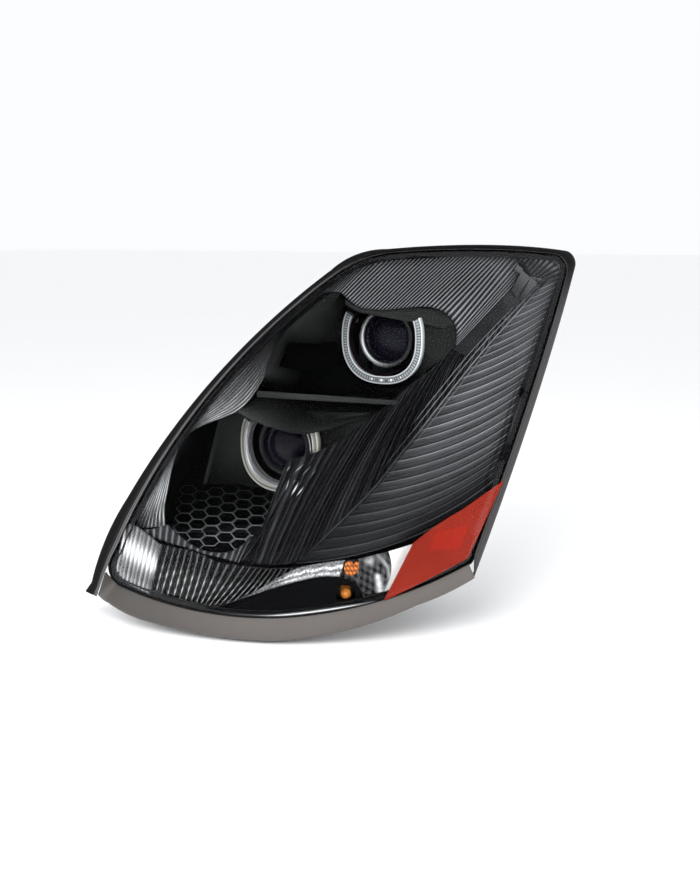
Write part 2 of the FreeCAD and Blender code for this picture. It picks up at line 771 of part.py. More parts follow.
def cutoff_shield():
    """The half plate that gives the low beam its flat top edge."""
    y = size("low_ring_y") + size("lens_behind_ring") + size("holder_length") + 0.2
    plate("cutoff_shield", [[
        (-37.5, 1.5), ("arc", 0, -37.5), (37.5, -1.5), (4, -1.5), (1, 1.5)]], 1.6,
        spot(size("low_x"), y, size("low_z")))


def aim_frame():
    """The carrier that both projectors bolt to, with its ball sockets and pivot sleeve."""
    lx, lz = size("low_x"), size("low_z")
    hx, hz = size("high_x"), size("high_z")
    px, pz, py = size("hang_x"), size("hang_z"), size("hang_y")
    thick = size("frame_plate")
    low_y = size("low_ring_y") + size("lens_behind_ring") + size("holder_length")
    high_y = size("high_ring_y") + size("lens_behind_ring") + size("holder_length")
    ax = px + size("adjust_side")
    az = pz - size("adjust_drop")
    solids = [
        rod("LowDisc", 52, thick, (lx, low_y, lz), "Y"),
        box("LowWeb", 108, thick, 95, (px - 18, low_y, 33)),
        box("SideArm", ax - px + 11, thick, 22, (px, low_y, pz - 11)),
        rod("HighDisc", 52, thick, (hx, high_y, hz), "Y"),
        box("HighWeb", 104, thick, 51, (hx - 52, high_y, hz)),
        box("Shelf", 54, low_y - high_y + thick, thick, (px - 18, high_y, 33)),
        box("DropArm", 16, thick, 140, (px - 8, low_y, az)),
        rod("HeightCup", 11, 14, (px, low_y, az), "Y"),
        rod("SideCup", 11, 14, (ax, low_y, pz), "Y"),
        box("SleeveBlock", 28, 26, 14, (px - 14, low_y, pz - 7)),
    ]
    sleeve = doc.addObject("Part::Cylinder", "SleeveBore")
    bind(sleeve, "Radius", 10.1)
    bind(sleeve, "Height", 60)
    sleeve.Placement = FreeCAD.Placement(FreeCAD.Vector(px, py, pz - 30), FreeCAD.Rotation())
    holes = [
        rod("LowHole", 39, 20, (lx, low_y - 5, lz), "Y"),
        rod("HighHole", 39, 20, (hx, high_y - 5, hz), "Y"),
        rod("HeightPocket", 7.2, 20, (px, low_y + 1.8, az), "Y"),
        rod("SidePocket", 7.2, 20, (ax, low_y + 1.8, pz), "Y"),
        sleeve,
        box("NeckSlot", 13, 40, 40, (px - 6.5, py, pz - 20)),
    ]
    for number, (dx, dz) in enumerate(screw_places()):
        holes.append(rod("LowScrew%d" % number, 2.2, 20, (lx + dx, low_y - 5, lz + dz), "Y"))
        holes.append(rod("HighScrew%d" % number, 2.2, 20, (hx + dx, high_y - 5, hz + dz), "Y"))
    named(cut("AimFrame", fused("AimSolid", *solids), fused("AimHoles", *holes)), "aim_frame",
          FreeCAD.Placement(spot(0, 0, 0), FreeCAD.Rotation()))


def pivot():
    """The fixed ball stud and the nylon insert that swings on it."""
    where = spot(size("hang_x"), size("hang_y"), size("hang_z"))
    ball = size("ball_radius")
    turned("pivot_stud", [
        (0, -ball), ("arc", 6, 0), (3.5, 4.873), (3.5, 20), (5, 20), (5, 101.2), (9, 101.2),
        (9, 106), (0, 106)], where)
    block = doc.addObject("Part::Cylinder", "InsertBlock")
    bind(block, "Radius", 10.0)
    bind(block, "Height", 18)
    block.Placement = FreeCAD.Placement(FreeCAD.Vector(0, 0, -9), FreeCAD.Rotation())
    hollow = doc.addObject("Part::Sphere", "InsertHollow")
    bind(hollow, "Radius", ball + 0.08)
    neck = rod("InsertNeck", 4.6, 20, (0, 0, 0), "Y")
    named(cut("PivotSocket", block, fused("InsertCore", hollow, neck)), "pivot_socket",
          FreeCAD.Placement(where, FreeCAD.Rotation()))


def adjuster(label, x, z, end):
    """A ball-ended rod, the knob that draws it in and out, and the bush that holds the knob."""
    where = spot(x, size("hang_y"), z)
    ball, shaft = size("ball_radius"), size("rod_radius")
    reach = end - float(size("hang_y"))
    neck = math.sqrt(float(ball) ** 2 - float(shaft) ** 2)
    turned(label + "_rod", [
        (0, -ball), ("arc", 6, 0), (shaft, neck), (shaft, reach + 24), (0, reach + 24)], where)
    knob, grip = size("knob_radius"), size("knob_length")
    turned(label + "_knob", [
        (shaft + 0.05, reach + 0.3), (knob, reach + 0.3), (knob, reach + 2.8),
        (8, reach + 2.8), (8, reach + 6.4), (knob, reach + 6.4), (knob, reach + grip + 2),
        (shaft + 0.05, reach + grip + 2)], where)
    turned(label + "_bush", [
        (knob + 0.4, reach + 0.05), (14, reach + 0.05), (14, reach + 6), (8.1, reach + 6),
        (8.1, reach + 3.2), (knob + 0.4, reach + 3.2)], where)


def rear_cap(beam):
    """A round cover with a finger bar, and the seal under it."""
    end = size(beam + "_collar_y")
    where = spot(size(beam + "_x"), end, size(beam + "_z"))
    ring = size("collar_radius")
    turned(beam + "_beam_cap_seal", [
        (ring - 3.5, 0.1), (ring - 0.3, 0.1), (ring - 0.3, 2.1), (ring - 3.5, 2.1)], where)
    cover = turned("cover", [
        (0, 2.3), (ring + 0.3, 2.3), (ring + 0.3, -11.5), (ring + 3, -11.5), (ring + 3, 3.5),
        (ring + 1.5, 5), (0, 5)], FreeCAD.Vector())
    parts.remove(cover)
    bar = box(beam + "Bar", ring * 1.5, 8, 9, (-ring * 0.75, 4.5, -4.5))
    named(fused(beam + "Cap", cover, bar), beam + "_beam_cap",
          FreeCAD.Placement(where, FreeCAD.Rotation()))


def small_bulb(label, u, v, tip):
    """A twist-in bulb socket in the signal wall, with its seal and glass bulb."""
    back = FACE.multiply(FreeCAD.Placement(
        FreeCAD.Vector(u, v, -size("signal_wall")),
        FreeCAD.Rotation(FreeCAD.Vector(1, 0, 0), -90)))
    ring = size("socket_radius")
    body = turned("socket", [
        (0, -4), (6.6, -4), (6.6, -14), (11, -14), (11, -6), (ring, -6), (ring, 1.7),
        (19, 1.7), (19, 5), (12, 5), (12, 20), (0, 20)], FreeCAD.Vector())
    parts.remove(body)
    wing = box(label + "Wing", 30, 12, 4, (-15, 4.5, -2))
    named(fused(label + "Socket", body, wing), label + "_socket", back)
    turned(label + "_socket_seal", [(ring + 0.3, 0.1), (18.6, 0.1), (18.6, 1.5),
                                    (ring + 0.3, 1.5)], back)
    turned(label + "_bulb", [
        (0, -tip), ("arc", 5, -tip + 2), (7, -tip + 7), (7, -24), (6.4, -20), (6.4, -4.2),
        (0, -4.2)], back)


def harness_inlet():
    """The plug socket in the back, a box open to the rear, with six pins."""
    width, height, depth = size("inlet_width"), size("inlet_height"), size("inlet_depth")
    shell = fused("InletShell",
                  box("InletBody", width + 4, 26, height + 4, (-width / 2 - 2, -20, -height / 2 - 2)),
                  box("InletFlange", width + 12, 2.5, height + 12,
                      (-width / 2 - 6, 0.1, -height / 2 - 6)))
    hollow = box("InletHollow", width, depth + 10, height, (-width / 2, 6 - depth, -height / 2))
    where = FreeCAD.Placement(spot(-181.5, 205, -90), FreeCAD.Rotation())
    pins = []
    for column in range(4):
        for row in range(2):
            pins.append(box("Pin%d%d" % (column, row), 1.6, depth, 0.8,
                            (-13 + column * 8 + 0.2, 6 - depth - 7, -4.4 + row * 8)))
    pin_group = fused("InletPins", *pins)
    slots = []
    for column in range(4):
        for row in range(2):
            slots.append(box("Slot%d%d" % (column, row), 1.7, depth + 6, 0.9,
                             (-13 + column * 8 + 0.15, 6 - depth - 8, -4.45 + row * 8)))
    named(cut("HarnessInlet", shell, fused("InletCuts", hollow, *slots)), "harness_inlet", where)
    named(pin_group, "inlet_pins", where)


def mounting_studs():
    depth = size("body_depth")
    solids = []
    for number, (u, v) in enumerate(stud_places()):
        solids.append(rod("StudShank%d" % number, size("stud_radius"), size("stud_reach") + 1,
                          (u, v, -depth - size("stud_reach"))))
        solids.append(rod("StudNeck%d" % number, size("stud_radius") + 0.3, 3.3,
                          (u, v, -depth - 0.2)))
        solids.append(rod("StudHead%d" % number, 7, 3, (u, v, -depth + size("wall_thick") + 0.1)))
    named(fused("MountingStuds", *solids), "mounting_studs", FACE)


housing()
lens_cover()
lens_seal()
edge_gasket()
lower_trim()
fluted_bezel()
inner_bezels()
centre_shelf()
visors()
side_panel()
signal_reflectors()
side_reflex()
grille()
light_rings()
for beam, level in UNITS:
    projector(beam, level)
    rear_cap(beam)
cutoff_shield()
aim_frame()
pivot()
adjuster("height_adjuster", size("hang_x"), size("hang_z") - size("adjust_drop"), 275)
adjuster("side_adjuster", size("hang_x") + size("adjust_side"), size("hang_z"), 394)
small_bulb("turn", size("signal_u"), size("signal_v"), 74)
small_bulb("marker", size("marker_u"), size("marker_v"), 64)
harness_inlet()
mounting_studs()
doc.recompute()

os.makedirs("parts", exist_ok=True)
for old in os.listdir("parts"):
    os.remove(os.path.join("parts", old))
problems = []
for thing in doc.Objects:
    if "Invalid" in thing.State or "Error" in thing.State:
        problems.append("%s %s %s" % (thing.Name, thing.Label, thing.State))
for thing in parts:
    shape = thing.Shape
    if shape.isNull() or not shape.isValid() or not shape.Solids:
        problems.append("shape %s" % thing.Label)
    else:
        print("%-18s %10.0f %d" % (thing.Label, shape.Volume, len(shape.Solids)))
if problems:
    raise RuntimeError("; ".join(problems))
for thing in parts:
    thing.Shape.exportStep("parts/%s.step" % thing.Label)
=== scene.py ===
"""Looks for the driver-side headlight assembly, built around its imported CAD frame.

Shapes are given in millimetres in one of two frames. The face frame (u, v, w) lies in the tilted
front of the lamp: u runs outboard, v up and w out of the glass. The car frame (x, y, z) has y along
the beam, towards the back. Both are turned into the frame's own metres by face() and car().
"""
import math

import bmesh
import bpy
import numpy as np
from mathutils import Matrix, Vector
from mathutils.geometry import delaunay_2d_cdt


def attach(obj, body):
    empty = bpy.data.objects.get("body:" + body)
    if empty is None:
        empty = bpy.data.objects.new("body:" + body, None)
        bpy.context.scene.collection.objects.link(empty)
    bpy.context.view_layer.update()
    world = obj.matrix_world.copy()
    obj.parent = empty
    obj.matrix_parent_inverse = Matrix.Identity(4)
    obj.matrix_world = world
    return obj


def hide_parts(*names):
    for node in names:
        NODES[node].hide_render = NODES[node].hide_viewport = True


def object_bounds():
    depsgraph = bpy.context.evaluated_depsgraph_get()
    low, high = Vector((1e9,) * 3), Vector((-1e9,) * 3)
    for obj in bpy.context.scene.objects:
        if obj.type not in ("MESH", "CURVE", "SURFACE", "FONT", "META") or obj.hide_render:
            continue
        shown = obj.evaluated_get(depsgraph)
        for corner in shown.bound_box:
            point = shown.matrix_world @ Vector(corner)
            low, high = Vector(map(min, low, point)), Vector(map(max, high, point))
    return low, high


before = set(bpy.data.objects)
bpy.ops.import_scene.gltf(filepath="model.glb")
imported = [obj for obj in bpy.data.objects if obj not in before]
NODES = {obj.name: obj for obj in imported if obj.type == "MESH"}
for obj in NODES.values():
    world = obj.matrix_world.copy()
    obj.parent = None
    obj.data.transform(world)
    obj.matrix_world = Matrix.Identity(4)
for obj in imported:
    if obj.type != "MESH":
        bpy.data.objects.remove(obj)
CAD_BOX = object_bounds()
MM = 0.001

# The face frame: turned about the vertical, then leant back, with its origin on the stud circle.
TURN, TILT = math.radians(31), math.radians(11)
TURNED = Matrix.Rotation(TURN, 3, "Z") @ Matrix.Rotation(math.pi / 2 - TILT, 3, "X")
AXES = np.array(TURNED)
STUDS = np.array((37, 45, -265))
ORIGIN = AXES @ STUDS

# The glass: a patch of a ring-shaped dome.
DOME_ALONG, DOME_AROUND, DOME_U, DOME_V = 560, 620, -20, -40

# The two beam units: middle of each light ring in the car frame, how far the grey plate and the
# front of the lens lie behind it, and the radius of the plate's opening.
LOW, HIGH = (4.7, 128.0, 128.0), (-90.4, 13.8, -14.1)
PLATE_BEHIND = 10.2
LENS_BEHIND = 4
PLATE_OPENING = 50.5


def face(points):
    """Face-frame millimetres to metres."""
    return (np.asarray(points, float) @ AXES.T - ORIGIN) * MM


def car(points):
    """Car-frame millimetres to metres."""
    return (np.asarray(points, float) - ORIGIN) * MM


def dome(u, v, back=0.0):
    """Height w of the glass, set back by some millimetres."""
    reach = DOME_AROUND + np.sqrt(DOME_ALONG ** 2 - (np.asarray(u) - DOME_U) ** 2)
    return np.sqrt(reach ** 2 - (np.asarray(v) - DOME_V) ** 2) - DOME_ALONG - DOME_AROUND - back


def on_dome(flat, back=0.0):
    """Face points (u, v, w) of flat points (u, v), set back from the glass."""
    u, v = flat[..., 0], flat[..., 1]
    return np.stack((u, v, dome(u, v, back)), -1)


def crowned(one, other, crown):
    """Sections from one line to the other, as (share of the way across, set back)."""
    return np.stack([on_dome(one + (other - one) * across, back) for across, back in crown], 1)


def beam_plane(u, v, y):
    """Height w where the face point (u, v) meets the plane across the beam at y."""
    return (y - u * AXES[1, 0] - v * AXES[1, 1]) / AXES[1, 2]


# ---------------------------------------------------------------- outlines and curves

# Outlines list an end, a point its arc passes through, the next end and so on; None is a straight.
LENS_EDGE = [
    (-297, -148), (-146, 84), (9, 229), (42, 248), (81, 259.5), (200, 271.5), (322, 279),
    (345, 273), (349, 254), None, (192.5, -153), (190, -158), (185, -160.5), (61, -207),
    (-67, -228), (-178, -222), (-285, -195.5), (-303, -181)]
TRIM_EDGE = [
    (-314, -179), None, (-327, -211), (-320, -217), (-311, -221), (-300, -227), (-250, -243),
    (-192, -253), (-80, -262),
    (25, -246), (116, -215), (158, -200), (197, -181)]
GASKET_EDGE = [
    (-347, -207), None, (-336, -193), (-307, -121), (-277, -72), (-160, 83), (1, 234), (34, 256),
    (78, 265.5), (200, 279), (352.3, 289.3), (365.5, 282.4), (367.2, 267.7), None, (196, -178)]
REFLEX = [
    (110, -130), (140, -108), (175, -88), None, (237, -48), None, (186, -152), (127, -181),
    (71, -206), None]
INSERT = [(128, -141), None, (141, -115), None, (186, -107), None, (176, -139), None]


def arc(start, via, end, step):
    """Points from start up to, not with, end on the arc through via."""
    (ax, ay), (bx, by), (cx, cy) = start, via, end
    d = 2 * (ax * (by - cy) + bx * (cy - ay) + cx * (ay - by))
    if abs(d) < 1e-6:
        return straight(start, end, step)
    a2, b2, c2 = ax * ax + ay * ay, bx * bx + by * by, cx * cx + cy * cy
    ox = (a2 * (by - cy) + b2 * (cy - ay) + c2 * (ay - by)) / d
    oy = (a2 * (cx - bx) + b2 * (ax - cx) + c2 * (bx - ax)) / d
    radius = math.hypot(ax - ox, ay - oy)
    first = math.atan2(ay - oy, ax - ox)
    middle = (math.atan2(by - oy, bx - ox) - first) % (2 * math.pi)
    sweep = (math.atan2(cy - oy, cx - ox) - first) % (2 * math.pi)
    if middle > sweep:
        sweep -= 2 * math.pi
    count = max(2, int(abs(sweep) * radius / step))
    return [(ox + radius * math.cos(first + sweep * i / count),
             oy + radius * math.sin(first + sweep * i / count)) for i in range(count)]


def straight(start, end, step):
    """Points from start up to, not with, end on a straight."""
    count = max(1, int(math.dist(start, end) / step))
    return [(start[0] + (end[0] - start[0]) * i / count,
             start[1] + (end[1] - start[1]) * i / count) for i in range(count)]


def outline(points, step=3.0, closed=True):
    """An outline as an array of closely spaced points."""
    made = []
    ends = len(points) if closed else len(points) - 1
    for i in range(0, ends, 2):
        start, via, end = points[i], points[(i + 1) % len(points)], points[(i + 2) % len(points)]
        made += straight(start, end, step) if via is None else arc(start, via, end, step)
    if not closed:
        made.append(points[-1])
    return np.array(made)


def offset(loop, amount):
    """A closed loop moved outward, or inward where the amount is negative."""
    ahead, behind = np.roll(loop, -1, 0), np.roll(loop, 1, 0)
    along = ahead - behind
    along /= np.linalg.norm(along, axis=1)[:, None]
    area = np.sum(loop[:, 0] * ahead[:, 1] - ahead[:, 0] * loop[:, 1])
    side = np.stack((along[:, 1], -along[:, 0]), 1) * (1 if area > 0 else -1)
    return loop + side * amount


def smooth(points, at, knots=None):
    """A smooth curve through the points, read at the places at, from 0 to 1."""
    p = np.array(points, float)
    if knots is None:
        knots = np.concatenate(([0], np.cumsum(np.linalg.norm(np.diff(p, axis=0), axis=1))))
        knots /= knots[-1]
    slope = np.zeros_like(p)
    slope[1:-1] = (p[2:] - p[:-2]) / (knots[2:] - knots[:-2])[:, None]
    slope[0] = (p[1] - p[0]) / (knots[1] - knots[0])
    slope[-1] = (p[-1] - p[-2]) / (knots[-1] - knots[-2])
    i = np.clip(np.searchsorted(knots, at, side="right") - 1, 0, len(p) - 2)
    h = knots[i + 1] - knots[i]
    t = ((at - knots[i]) / h)[:, None]
    h = h[:, None]
    return ((2 * t ** 3 - 3 * t ** 2 + 1) * p[i] + (t ** 3 - 2 * t ** 2 + t) * h * slope[i]
            + (3 * t ** 2 - 2 * t ** 3) * p[i + 1] + (t ** 3 - t ** 2) * h * slope[i + 1])


def ease(x):
    """A soft step from 0 to 1."""
    x = np.clip(x, 0, 1)
    return x * x * (3 - 2 * x)


def hashed(i, salt=0):
    """A repeatable number from 0 to 1 for each whole number."""
    x = np.sin(np.asarray(i, float) * 12.9898 + salt * 78.233) * 43758.5453
    return x - np.floor(x)


def inside(points, loop):
    """Which of the points lie in a closed loop."""
    x, y = points[:, 0][:, None], points[:, 1][:, None]
    x1, y1 = loop[:, 0][None], loop[:, 1][None]
    x2, y2 = np.roll(loop[:, 0], -1)[None], np.roll(loop[:, 1], -1)[None]
    crosses = ((y1 > y) != (y2 > y)) & (x < (x2 - x1) * (y - y1) / (y2 - y1 + 1e-12) + x1)
    return crosses.sum(1) % 2 == 1


def nearest(points, loop):
    """Distance from each point to the closest point of a loop."""
    return np.sqrt(((points[:, None] - loop[None]) ** 2).sum(2).min(1))


# ---------------------------------------------------------------- meshes

def piece(name, points, faces, material, nodes=(), slot=None, body="lamp_body", angle=35,
          tone=None):
    """One finished mesh object that rides on a body and stands for CAD nodes."""
    mesh = bpy.data.meshes.new(name)
    mesh.from_pydata([tuple(p) for p in points], [], [tuple(f) for f in faces])
    if tone is not None:
        mesh.attributes.new("tone", "FLOAT", "POINT").data.foreach_set(
            "value", np.asarray(tone, np.float32).ravel())
    build = bmesh.new()
    build.from_mesh(mesh)
    bmesh.ops.remove_doubles(build, verts=build.verts, dist=1e-6)
    bmesh.ops.recalc_face_normals(build, faces=build.faces)
    build.to_mesh(mesh)
    build.free()
    mesh.shade_smooth()
    mesh.set_sharp_from_angle(angle=math.radians(angle))
    mesh.materials.append(material)
    made = bpy.data.objects.new(name, mesh)
    bpy.context.scene.collection.objects.link(made)
    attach(made, body)
    if nodes:
        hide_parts(*nodes)
    return made


def grid_faces(rows, columns, start=0, wrap=False):
    """Faces of a grid whose points are stored row by row."""
    found = []
    for r in range(rows - 1):
        for c in range(columns if wrap else columns - 1):
            d = (c + 1) % columns
            found.append((start + r * columns + c, start + r * columns + d,
                          start + (r + 1) * columns + d, start + (r + 1) * columns + c))
    return found


def slab_of_grids(front, back):
    """Points and faces of a closed sheet between two equal grids."""
    rows, columns = front.shape[:2]
    count = rows * columns
    faces = grid_faces(rows, columns) + [f[::-1] for f in grid_faces(rows, columns, count)]
    edge = ([c for c in range(columns)] + [r * columns + columns - 1 for r in range(1, rows)]
            + [(rows - 1) * columns + c for c in range(columns - 2, -1, -1)]
            + [r * columns for r in range(rows - 2, 0, -1)])
    for i, a in enumerate(edge):
        b = edge[(i + 1) % len(edge)]
        faces.append((a, a + count, b + count, b))
    return np.concatenate((front.reshape(-1, 3), back.reshape(-1, 3))), faces


def slab(name, front, back, material, tone, angle=40, **kept):
    """A closed sheet between two equal grids in the face frame, with the tone of its front."""
    points, faces = slab_of_grids(face(front), face(back))
    piece(name, points, faces, material, angle=angle,
          tone=np.concatenate((tone.ravel(), tone.ravel())), **kept)


def filled(loops, spacing):
    """Triangles that fill the first loop and leave the others open: points and faces in 2-D."""
    low, high = loops[0].min(0), loops[0].max(0)
    us = np.arange(low[0], high[0], spacing)
    vs = np.arange(low[1], high[1], spacing * 0.87)
    grid = np.array([(u + (spacing / 2 if j % 2 else 0), v) for j, v in enumerate(vs) for u in us])
    keep = inside(grid, loops[0])
    for hole in loops[1:]:
        keep &= ~inside(grid, hole)
    for loop in loops:
        keep &= nearest(grid, loop) > spacing * 0.55
    points, edges = [], []
    for loop in loops:
        first = len(points)
        points += [Vector(p) for p in loop]
        edges += [(first + i, first + (i + 1) % len(loop)) for i in range(len(loop))]
    points += [Vector(p) for p in grid[keep]]
    made, _, faces, _, _, _ = delaunay_2d_cdt(points, edges, [], 0, 1e-5)
    flat = np.array([tuple(p) for p in made])
    middle = np.array([flat[list(f)].mean(0) for f in faces])
    good = inside(middle, loops[0])
    for hole in loops[1:]:
        good &= ~inside(middle, hole)
    return flat, [tuple(f) for f, g in zip(faces, good) if g]


def rim_edges(faces):
    """Directed edges that belong to one face only."""
    seen = {}
    for f in faces:
        for i, a in enumerate(f):
            b = f[(i + 1) % len(f)]
            seen[(a, b)] = seen.get((a, b), 0) + 1
    return [(a, b) for a, b in seen if (b, a) not in seen]


def sheet(name, loops, front, back, material, spacing=8, to=face, tone=None, **kept):
    """A closed sheet whose front and back heights are functions of the place."""
    flat, faces = filled(loops, spacing)
    count = len(flat)
    u, v = flat[:, 0], flat[:, 1]
    points = np.concatenate((to(np.stack((u, v, front(u, v)), 1)),
                             to(np.stack((u, v, back(u, v)), 1))))
    all_faces = faces + [tuple(i + count for i in f[::-1]) for f in faces]
    all_faces += [(b, a, a + count, b + count) for a, b in rim_edges(faces)]
    if tone is not None:
        tone = np.tile(tone(u, v), 2)
    return piece(name, points, all_faces, material, tone=tone, **kept)


def swept(name, sections, material, closed=False, to=face, tone=None, **kept):
    """A solid through equal closed sections, one row each."""
    rows, columns = sections.shape[:2]
    faces = grid_faces(rows, columns, wrap=True)
    if closed:
        last = (rows - 1) * columns
        faces += [(last + c, last + (c + 1) % columns, (c + 1) % columns, c)
                  for c in range(columns)]
    else:
        faces += [tuple(range(columns))[::-1], tuple((rows - 1) * columns + c
                                                     for c in range(columns))]
    return piece(name, to(sections.reshape(-1, 3)), faces, material, tone=tone, **kept)


SEGMENTS = 96


def lathed(name, profile, middle, material, segments=SEGMENTS, **kept):
    """A closed profile of (radius, depth) turned about the beam axis through middle."""
    x, y, z = middle
    rows = []
    for i in range(segments):
        a = 2 * math.pi * i / segments
        rows.append([(x + r * math.cos(a), y + d, z + r * math.sin(a)) for r, d in profile])
    return swept(name, np.array(rows), material, closed=True, to=car, **kept)


# ---------------------------------------------------------------- materials

def new_material(name):
    made = bpy.data.materials.new(name)
    made.use_nodes = True
    made.node_tree.nodes.clear()
    return made, made.node_tree


def node(tree, kind, settings=None, **inputs):
    """A shader node with its settings and its unlinked inputs, named with _ for spaces."""
    made = tree.nodes.new("ShaderNode" + kind)
    for key, value in (settings or {}).items():
        setattr(made, key, value)
    for key, value in inputs.items():
        socket = made.inputs[key.replace("_", " ")]
        if isinstance(value, bpy.types.NodeSocket):
            tree.links.new(value, socket)
        else:
            socket.default_value = value
    return made


def rgba(colour):
    return (*colour, 1.0)


def mixed(tree, factor, one, two):
    """A colour between two colours or sockets."""
    made = node(tree, "Mix", {"data_type": "RGBA"})
    for index, value in ((0, factor), (6, one), (7, two)):
        if isinstance(value, bpy.types.NodeSocket):
            tree.links.new(value, made.inputs[index])
        else:
            made.inputs[index].default_value = value
    return made.outputs[2]


def surface(name, dark, light, rough=(0.4, 0.5), metal=0.0, grain=1500.0, relief=0.05,
            cloud=25.0, coat=0.0, toned=False, specular=0.5, glow=0.0,
            behind=None):
    """Moulded or plated material: cloudy colour, uneven gloss and a fine grain.

    A toned material also follows the mesh's own tone, which paints shade in the grooves and
    highlights on the ridges and other lit places. Where behind gives a second pair of colours,
    faces turned to the back of the lamp take those. A glow makes the colour shine on its own, as
    painted light."""
    made, tree = new_material(name)
    place = node(tree, "TexCoord").outputs["Object"]
    clouds = node(tree, "TexNoise", Vector=place, Scale=cloud, Detail=4.0, Roughness=0.6)
    fine = node(tree, "TexNoise", Vector=place, Scale=grain, Detail=3.0)
    factor = clouds.outputs["Fac"]
    if toned:
        tone = node(tree, "Attribute", {"attribute_name": "tone"}).outputs["Fac"]
        wobble = node(tree, "MapRange", Value=factor, To_Min=0.88, To_Max=1.1).outputs[0]
        factor = node(tree, "Math", {"operation": "MULTIPLY", "use_clamp": True})
        tree.links.new(tone, factor.inputs[0])
        tree.links.new(wobble, factor.inputs[1])
        factor = factor.outputs[0]
    colour = mixed(tree, factor, rgba(dark), rgba(light))
    if behind:
        parts = node(tree, "SeparateXYZ", Vector=node(tree, "TexCoord").outputs["Normal"])
        share = node(tree, "MapRange", Value=parts.outputs["Y"], From_Min=-0.02, From_Max=0.06)
        colour = mixed(tree, share.outputs[0], colour,
                       mixed(tree, factor, rgba(behind[0]), rgba(behind[1])))
    gloss = node(tree, "MapRange", Value=clouds.outputs["Fac"], To_Min=rough[0], To_Max=rough[1])
    bump = node(tree, "Bump", Height=fine.outputs["Fac"], Strength=relief, Distance=0.0004)
    shader = node(tree, "BsdfPrincipled", Base_Color=colour, Roughness=gloss.outputs[0],
                  Metallic=metal, Normal=bump.outputs[0], Coat_Weight=coat)
    shader.inputs["Coat Roughness"].default_value = 0.08
    shader.inputs["Specular IOR Level"].default_value = specular
    if glow:
        tree.links.new(colour, shader.inputs["Emission Color"])
        shader.inputs["Emission Strength"].default_value = glow
    node(tree, "OutputMaterial", Surface=shader.outputs[0])
    return made


def clear(name, tint, share, rough=0.02):
    """Thin clear plastic: mostly open, with a faint gloss that grows at a grazing angle."""
    made, tree = new_material(name)
    place = node(tree, "TexCoord").outputs["Object"]
    haze = node(tree, "TexNoise", Vector=place, Scale=9.0, Detail=3.0)
    open_part = node(tree, "BsdfTransparent", Color=mixed(
        tree, haze.outputs["Fac"], rgba(tint), rgba([min(1.0, c * 1.03) for c in tint])))
    gloss = node(tree, "BsdfGlossy", Roughness=rough)
    gloss.inputs["Color"].default_value = (0.9, 0.92, 0.95, 1)
    edge = node(tree, "Fresnel", IOR=1.5)
    amount = node(tree, "Math", {"operation": "MULTIPLY"})
    tree.links.new(edge.outputs[0], amount.inputs[0])
    amount.inputs[1].default_value = share
    both = node(tree, "MixShader")
    tree.links.new(amount.outputs[0], both.inputs[0])
    tree.links.new(open_part.outputs[0], both.inputs[1])
    tree.links.new(gloss.outputs[0], both.inputs[2])
    node(tree, "OutputMaterial", Surface=both.outputs[0])
    return made


def prismatic(name, dark, light, pitch, turn):
    """Retroreflective plastic: a fine square grid pressed into coloured clear plastic."""
    made, tree = new_material(name)
    place = node(tree, "TexCoord").outputs["Object"]
    lines = []
    for turned_by in (turn, turn + math.pi / 2):
        aligned = node(tree, "Mapping", Vector=place, Rotation=(0, turned_by, 0))
        lines.append(node(tree, "TexWave", {"bands_direction": "X"}, Vector=aligned.outputs[0],
                          Scale=1 / pitch / 3.14, Distortion=0.6, Detail=1.0).outputs["Fac"])
    grid = node(tree, "Math", {"operation": "MULTIPLY"})
    tree.links.new(lines[0], grid.inputs[0])
    tree.links.new(lines[1], grid.inputs[1])
    clouds = node(tree, "TexNoise", Vector=place, Scale=14.0, Detail=3.0)
    share = node(tree, "Math", {"operation": "MULTIPLY_ADD"})
    tree.links.new(grid.outputs[0], share.inputs[0])
    share.inputs[1].default_value = 0.55
    tree.links.new(clouds.outputs["Fac"], share.inputs[2])
    colour = mixed(tree, share.outputs[0], rgba(dark), rgba(light))
    bump = node(tree, "Bump", Height=grid.outputs[0], Strength=0.5, Distance=0.0006)
    shader = node(tree, "BsdfPrincipled", Base_Color=colour, Roughness=0.22,
                  Normal=bump.outputs[0])
    shader.inputs["Specular IOR Level"].default_value = 0.06
    node(tree, "OutputMaterial", Surface=shader.outputs[0])
    return made


CLEAR_LENS = clear("clear_lens", (0.97, 0.98, 0.98), 0.025)
RUBBER = surface("black_rubber", (0.006, 0.006, 0.007), (0.02, 0.02, 0.022), (0.45, 0.6),
                 grain=2500, relief=0.15, specular=0.35)
# The toned materials here run from their dark colour to their light one by the mesh's tone, which
# paints highlights and shade, with some random variation.
RAIL = surface("rubber_rail", (0.0012, 0.0012, 0.0014), (0.20, 0.195, 0.20), (0.5, 0.6),
               grain=2500, relief=0.08, toned=True, specular=0.04)
TRIM = surface("satin_trim", (0.012, 0.0105, 0.0095), (0.140, 0.127, 0.118), (0.34, 0.42),
               metal=0.35, cloud=8, toned=True, specular=0.3)
SMOKED = surface("smoked_chrome", (0.003, 0.003, 0.004), (0.62, 0.63, 0.66), (0.32, 0.40),
                 metal=0.7, relief=0.02, cloud=40, toned=True, specular=0.2)
BORDER = surface("bezel_border", (0.004, 0.004, 0.005), (0.62, 0.63, 0.655), (0.3, 0.4),
                 metal=0.7, relief=0.02, cloud=60, toned=True, specular=0.2)
GREY = surface("grey_bezel", (0.0004, 0.0005, 0.0006), (0.040, 0.0415, 0.0405), (0.6, 0.7),
               grain=2600, relief=0.0, toned=True, specular=0.02)
CHROME = surface("chrome", (0.55, 0.555, 0.57), (0.86, 0.865, 0.88), (0.05, 0.12), metal=1.0,
                 cloud=120, grain=300, relief=0.25)
SILVER = surface("silver_grille", (0.01, 0.012, 0.012), (0.36, 0.40, 0.40), (0.35, 0.45),
                 metal=0.3, cloud=90, toned=True, specular=0.2)
